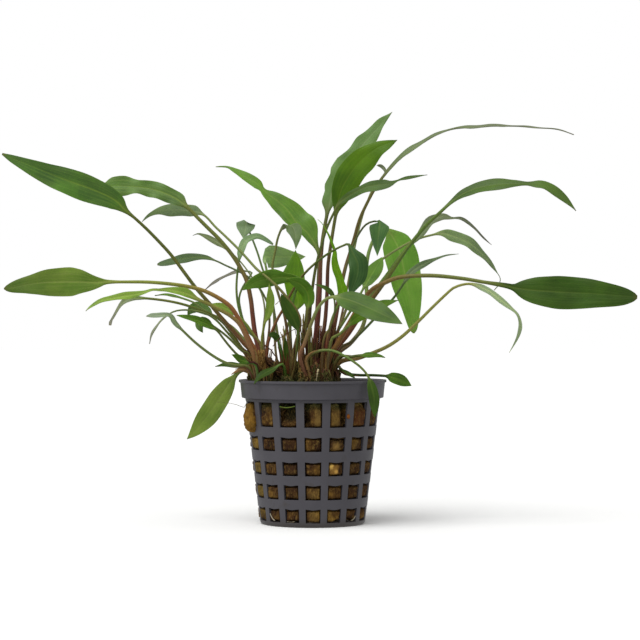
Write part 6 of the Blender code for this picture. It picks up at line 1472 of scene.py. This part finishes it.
grow_leaf("leaf_centre_thread_tip", CENTRAL_CROWN, grey_leaf, ("#7a6040", "#8a9a55", 0.4),
    depth=(4.6, 24, 44), face=(26, 26), keel=10, girth=(1.1, 0.75), shade=1.14, tinge=("#7f8a78", 0.2, 0.6),
    stalk=((7.3, 60.4), (9.8, 68), (12.6, 75.6), (15.4, 81.6), (18.9, 85.5), (24, 89.6), (31, 94),
        (35.8, 96.2), (40, 97.4)),
    blade=((43.8, 98), (47.1, 97.2), (50.4, 96), (53.4, 94.5), (56.4, 91.9), (59.1, 89.2), (61.5, 86.2),
        (63.4, 83.3), (63.5, 81.8), (62.8, 80.3), (61.5, 78.8)),
    edges=((0, 0.45, 0.45), (0.05, 1.1, 1), (0.112, 1.6, 1.6), (0.228, 2.2, 2.2), (0.339, 2.4, 2),
        (0.468, 2, 1.8), (0.594, 1.3, 1.2), (0.72, 0.65, 0.65), (0.83, 0.15, 0.15), (1, 0.12, 0.12)))
grow_leaf("leaf_centre_long_arch", CENTRAL_CROWN, green_leaf, ("#7a4426", "#5a7a2a", 0.55),
    depth=(-4.2, -10, -16), face=(42, 44), girth=(1.9, 1.1), shade=0.72, tinge=("#93a860", 0, 0.22),
    stalk=((6.6, 56.6), (12, 64), (16, 70), (20, 75.6), (25, 82.5), (28, 87), (31, 91.5), (34, 95.5),
        (38.4, 100.7), (42.9, 104.9)),
    blade=((46.8, 108.45), (50.4, 111.05), (53.4, 112.45), (56.4, 113.5), (61.8, 114.4), (66.6, 114.7),
        (70.8, 114.8), (74.6, 114.7), (78.25, 114.3), (81.85, 112.2), (85.45, 109.5), (89.25, 105.7)),
    edges=((0, 0.6, 0.6), (0.09, 0.9, 0.9), (0.16, 1.3, 1.2), (0.24, 2, 2), (0.35, 2.7, 2.7),
        (0.455, 2.6, 2.4), (0.545, 1.8, 1.7), (0.625, 0.8, 0.7), (0.7, 1.9, 1.8), (0.79, 2.4, 2.1),
        (0.89, 1.8, 1.6), (1, 0, 0)))
grow_leaf("leaf_centre_under_arch", CENTRAL_CROWN, grey_leaf, ("#7a5a3c", "#6f8f3c", 0.4),
    depth=(-2.2, -1, 6), face=(24, 24), girth=(1.2, 0.8), shade=0.75, tinge=("#918b84", 0.1, 0.85),
    stalk=((7.3, 58.6), (11.4, 65.6), (15.8, 72), (20.4, 78), (25.6, 84.8), (29, 89.6), (32, 93)),
    blade=((35.3, 96.15), (37.4, 98.85), (39.5, 101.95), (41.7, 103.2), (44.4, 103.8), (47.1, 103.2),
        (49.95, 103.15), (52.35, 101.95), (55.05, 99.65), (57.75, 96.65), (60.65, 94.15)),
    edges=((0, 0.45, 0.45), (0.108, 0.8, 0.8), (0.224, 1.5, 1.5), (0.307, 1.6, 1.6), (0.395, 1.3, 1.5),
        (0.482, 1.1, 1.2), (0.558, 0.4, 0.4), (0.642, 0.55, 0.55), (0.754, 0.5, 0.5), (0.88, 0.35, 0.35),
        (1, 0, 0)))
grow_leaf("leaf_centre_dark_side", CENTRAL_CROWN, grey_leaf, ("#6b4a30", "#4f6e2c", 0.4),
    depth=(1.6, 6, 12), face=(24, 24), girth=(1, 0.8), shade=0.9, tinge=("#6e8268", 0.4, 0.5),
    stalk=((8.8, 58.2), (13, 61.3), (17, 65), (21, 69.2), (27.3, 76), (30.4, 80.4)),
    blade=((33, 84.4), (35.9, 86.6), (39.2, 88.4), (42.9, 89.8), (45.9, 90.7), (49.5, 91.1)),
    edges=((0, 0.4, 0.4), (0.186, 1.2, 1.2), (0.4, 1.2, 1.2), (0.62, 0.65, 0.65), (0.797, 0.28, 0.28),
        (1, 0, 0)))
grow_leaf("leaf_centre_big_right", CENTRAL_CROWN, dark_leaf, ("#85582a", "#6f7a34", 0.6),
    depth=(-6.2, -18, -24), face=(8, 8), keel=6, girth=(1.8, 1.2), wave=(0.3, 18), shade=0.7,
    tinge=("#3c6000", 0.22, 0.22),
    stalk=((5.6, 55.6), (8.6, 61), (12.6, 68), (16.8, 75), (20.4, 79.2), (24.4, 81.3), (30, 83.25),
        (40, 83.75), (50, 82.85), (58, 81.55)),
    blade=((65.2, 80.4), (68.6, 79.6), (73.7, 78.9), (80.4, 78.4), (87.2, 78), (94, 77.7), (100.8, 77.2),
        (105.8, 76.8), (110, 76.4)),
    edges=((0, 0.6, 0.6), (0.13, 0.65, 0.65), (0.175, 0.8, 0.75), (0.2, 1.2, 1.1), (0.235, 2.4, 2.4),
        (0.28, 3.5, 3.7), (0.344, 4.5, 4.7), (0.42, 5, 5.3), (0.496, 5.3, 5.6), (0.649, 5, 5.3),
        (0.8, 4, 4.2), (0.916, 2.8, 3), (0.98, 1.4, 1.5), (1, 0.5, 0.5)))
grow_leaf("leaf_centre_low_right", CENTRAL_CROWN, grey_leaf, ("#8a6a30", "#9a9c48", 0.3),
    depth=(0.6, -6, -10), face=(24, 24), girth=(1.5, 0.85), shade=1.45, tinge=("#8f9a86", 0.6, 0.75),
    stalk=((8.6, 54.2), (15, 55.6), (20, 57.4), (25.35, 59.75), (30.35, 63.15), (35.35, 67.75),
        (40.35, 72.75), (45.35, 77.55), (48, 79.7), (52, 80.9)),
    blade=((55.2, 80.5), (59.7, 78.5), (63.6, 75.5), (67.3, 72.6), (69.4, 70.5), (70.3, 67.5), (70.1, 64.9),
        (69.1, 62.1), (66.6, 57.6)),
    edges=((0, 0.45, 0.45), (0.08, 0.85, 0.75), (0.158, 1.1, 1.1), (0.314, 1.1, 1.2), (0.462, 0.8, 0.9),
        (0.557, 0.55, 0.55), (0.657, 0.55, 0.55), (0.74, 0.65, 0.65), (0.836, 0.5, 0.5), (1, 0, 0)))
grow_leaf("leaf_centre_front", CENTRAL_CROWN, green_leaf, ("#9a6a50", "#8a9a55", 0.6),
    depth=(-9.4, -26, -46), width=8, face=(30, 30), keel=8, girth=(1.4, 1), widest=0.45, wedge=0.7,
    shade=0.71,
    stalk=((-4.2, 55.6), (-2.6, 61), (-1.2, 65.4), (0, 68.7), (1.5, 72.2), (3.6, 75), (6, 76.4)),
    blade=((9, 76.3), (13, 75.2), (17, 73.6), (21, 71.8), (25, 69.8), (30.4, 67.4)))
grow_leaf("leaf_centre_behind_front", CENTRAL_CROWN, bright_leaf, ("#6e5a38", "#73863c", 0.6),
    depth=(-8.4, -14, -24), width=4.2, face=(34, 40), keel=10, girth=(1.2, 0.9), wedge=0.7, shade=0.66,
    stalk=((6.2, 61.4), (8.8, 63.6), (11.4, 66)),
    blade=((14.4, 68.9), (18, 71.3), (23, 73.7), (29, 75.4)))
grow_leaf("leaf_centre_tiny_dark", CENTRAL_CROWN, green_leaf, ("#6a5030", "#5f7034", 0.6),
    depth=(-9.6, -15, -19), width=2, face=(40, 44), girth=(0.9, 0.6), wedge=0.9, shade=0.6,
    stalk=((3.6, 61.2), (5.8, 66), (7.4, 71), (7.4, 75.4)),
    blade=((6.4, 77.6), (4.6, 79.2), (2.8, 80.1), (0.8, 80.8)))
grow_leaf("leaf_centre_arch_over_rim", CENTRAL_CROWN, dark_leaf, ("#8a6a40", "#6f8a40", 0.35),
    depth=(-11.2, -18.4, -18.6), width=3.6, face=(14, 10), keel=10, girth=(1.1, 0.75), widest=0.45,
    wedge=0.8, shade=0.75,
    stalk=((-2, 54.2), (-0.8, 56.8), (1.6, 58.1), (5, 58.5), (8, 57.9), (11, 56.4), (14, 54.5),
        (16.7, 52.3), (18.8, 49.6)),
    blade=((20, 46), (20.7, 42.6), (21, 39.4), (21.1, 35.6)))
grow_leaf("leaf_centre_low_side", CENTRAL_CROWN, dark_leaf, ("#4f5a2c", "#3f5f24", 0.4), depth=(4.2, 6, 8),
    width=4.2, face=(24, 20), keel=8, girth=(1.1, 0.9), wedge=0.7, shade=1.45,
    stalk=((8.6, 51.5), (12, 50.4), (16, 50), (20, 50), (24.6, 49.75)),
    blade=((26.9, 49.2), (29.9, 48.3), (33.5, 46.4)))
grow_leaf("leaf_centre_low_small", CENTRAL_CROWN, dark_leaf, ("#5f4a2c", "#4f5f2c", 0.6),
    depth=(-2, -4, -7), width=1.8, face=(50, 50), keel=10, girth=(0.9, 0.8), widest=0.4, wedge=0.8,
    stalk=((8, 52.7), (9.6, 52)),
    blade=((11, 51.2), (12.6, 50.2), (14.4, 49)))
grow_leaf("leaf_centre_side_small", CENTRAL_CROWN, dark_leaf, ("#6a5030", "#5f7034", 0.5),
    depth=(-5, -12, -20), width=2.6, face=(50, 54), girth=(1.1, 0.9), wedge=0.8, shade=1.35,
    stalk=((8.6, 55.8), (12.4, 56.2), (16, 56.7)),
    blade=((18.6, 56.8), (21.4, 56.6), (24.6, 56)))


# Studio: a matt white paper floor under a white sky, and one very large soft lamp high on the left,
# in front. The camera looks level, at the height of the stalks' middle, as in the photograph.
FLOOR_RADIUS = 4000.0
FLOOR_DROP = 0.05
FILL_LIGHT = 0.5
SOFTBOX_STRENGTH = 2.3
SOFTBOX_SPREAD = 50
SOFTBOX_FROM = (-0.38, -0.42, 1.0)
FRAME_WIDTH_AT_POT = 216.83
floor_builder = bmesh.new()
bmesh.ops.create_circle(floor_builder, cap_ends=True, segments=96, radius=FLOOR_RADIUS * MM)
floor_mesh = bpy.data.meshes.new("pale_floor")
floor_builder.to_mesh(floor_mesh)
floor_builder.free()
floor = bpy.data.objects.new("pale_floor", floor_mesh)
bpy.context.scene.collection.objects.link(floor)
paper = new_material("matt_white_floor")
paper.node_tree.nodes["Principled BSDF"].inputs["Base Color"].default_value = linear("#fdfdfc")
paper.node_tree.nodes["Principled BSDF"].inputs["Roughness"].default_value = 0.9
floor_mesh.materials.append(paper)
floor.location.z = -FLOOR_DROP * MM
floor.visible_diffuse = False
floor.visible_glossy = False

sky = bpy.data.worlds.new("white_sky")
bpy.context.scene.world = sky
sky.use_nodes = True
backdrop = sky.node_tree.nodes["Background"]
backdrop.inputs["Color"].default_value = linear("#ffffff")
rays = add_node(sky, "ShaderNodeLightPath", {}, {})
seen_or_fill = add_node(sky, "ShaderNodeMapRange", {},
                        {"Value": rays.outputs["Is Camera Ray"], "To Min": FILL_LIGHT, "To Max": 1.0})
sky.node_tree.links.new(seen_or_fill.outputs["Result"], backdrop.inputs["Strength"])
softbox = bpy.data.objects.new("large_softbox", bpy.data.lights.new("large_softbox", "SUN"))
softbox.data.energy = SOFTBOX_STRENGTH
softbox.data.angle = math.radians(SOFTBOX_SPREAD)
softbox.rotation_euler = Vector(SOFTBOX_FROM).to_track_quat("Z", "Y").to_euler()
bpy.context.scene.collection.objects.link(softbox)

camera = bpy.data.objects.new("camera", bpy.data.cameras.new("camera"))
bpy.context.scene.collection.objects.link(camera)
camera.location = EYE * MM
camera.rotation_euler = (math.radians(90), 0, 0)
camera.data.sensor_width = 36
camera.data.lens = camera.data.sensor_width * -EYE.y / FRAME_WIDTH_AT_POT
camera.data.clip_end = 20
bpy.context.scene.camera = camera
bpy.context.scene.view_settings.view_transform = "Standard"
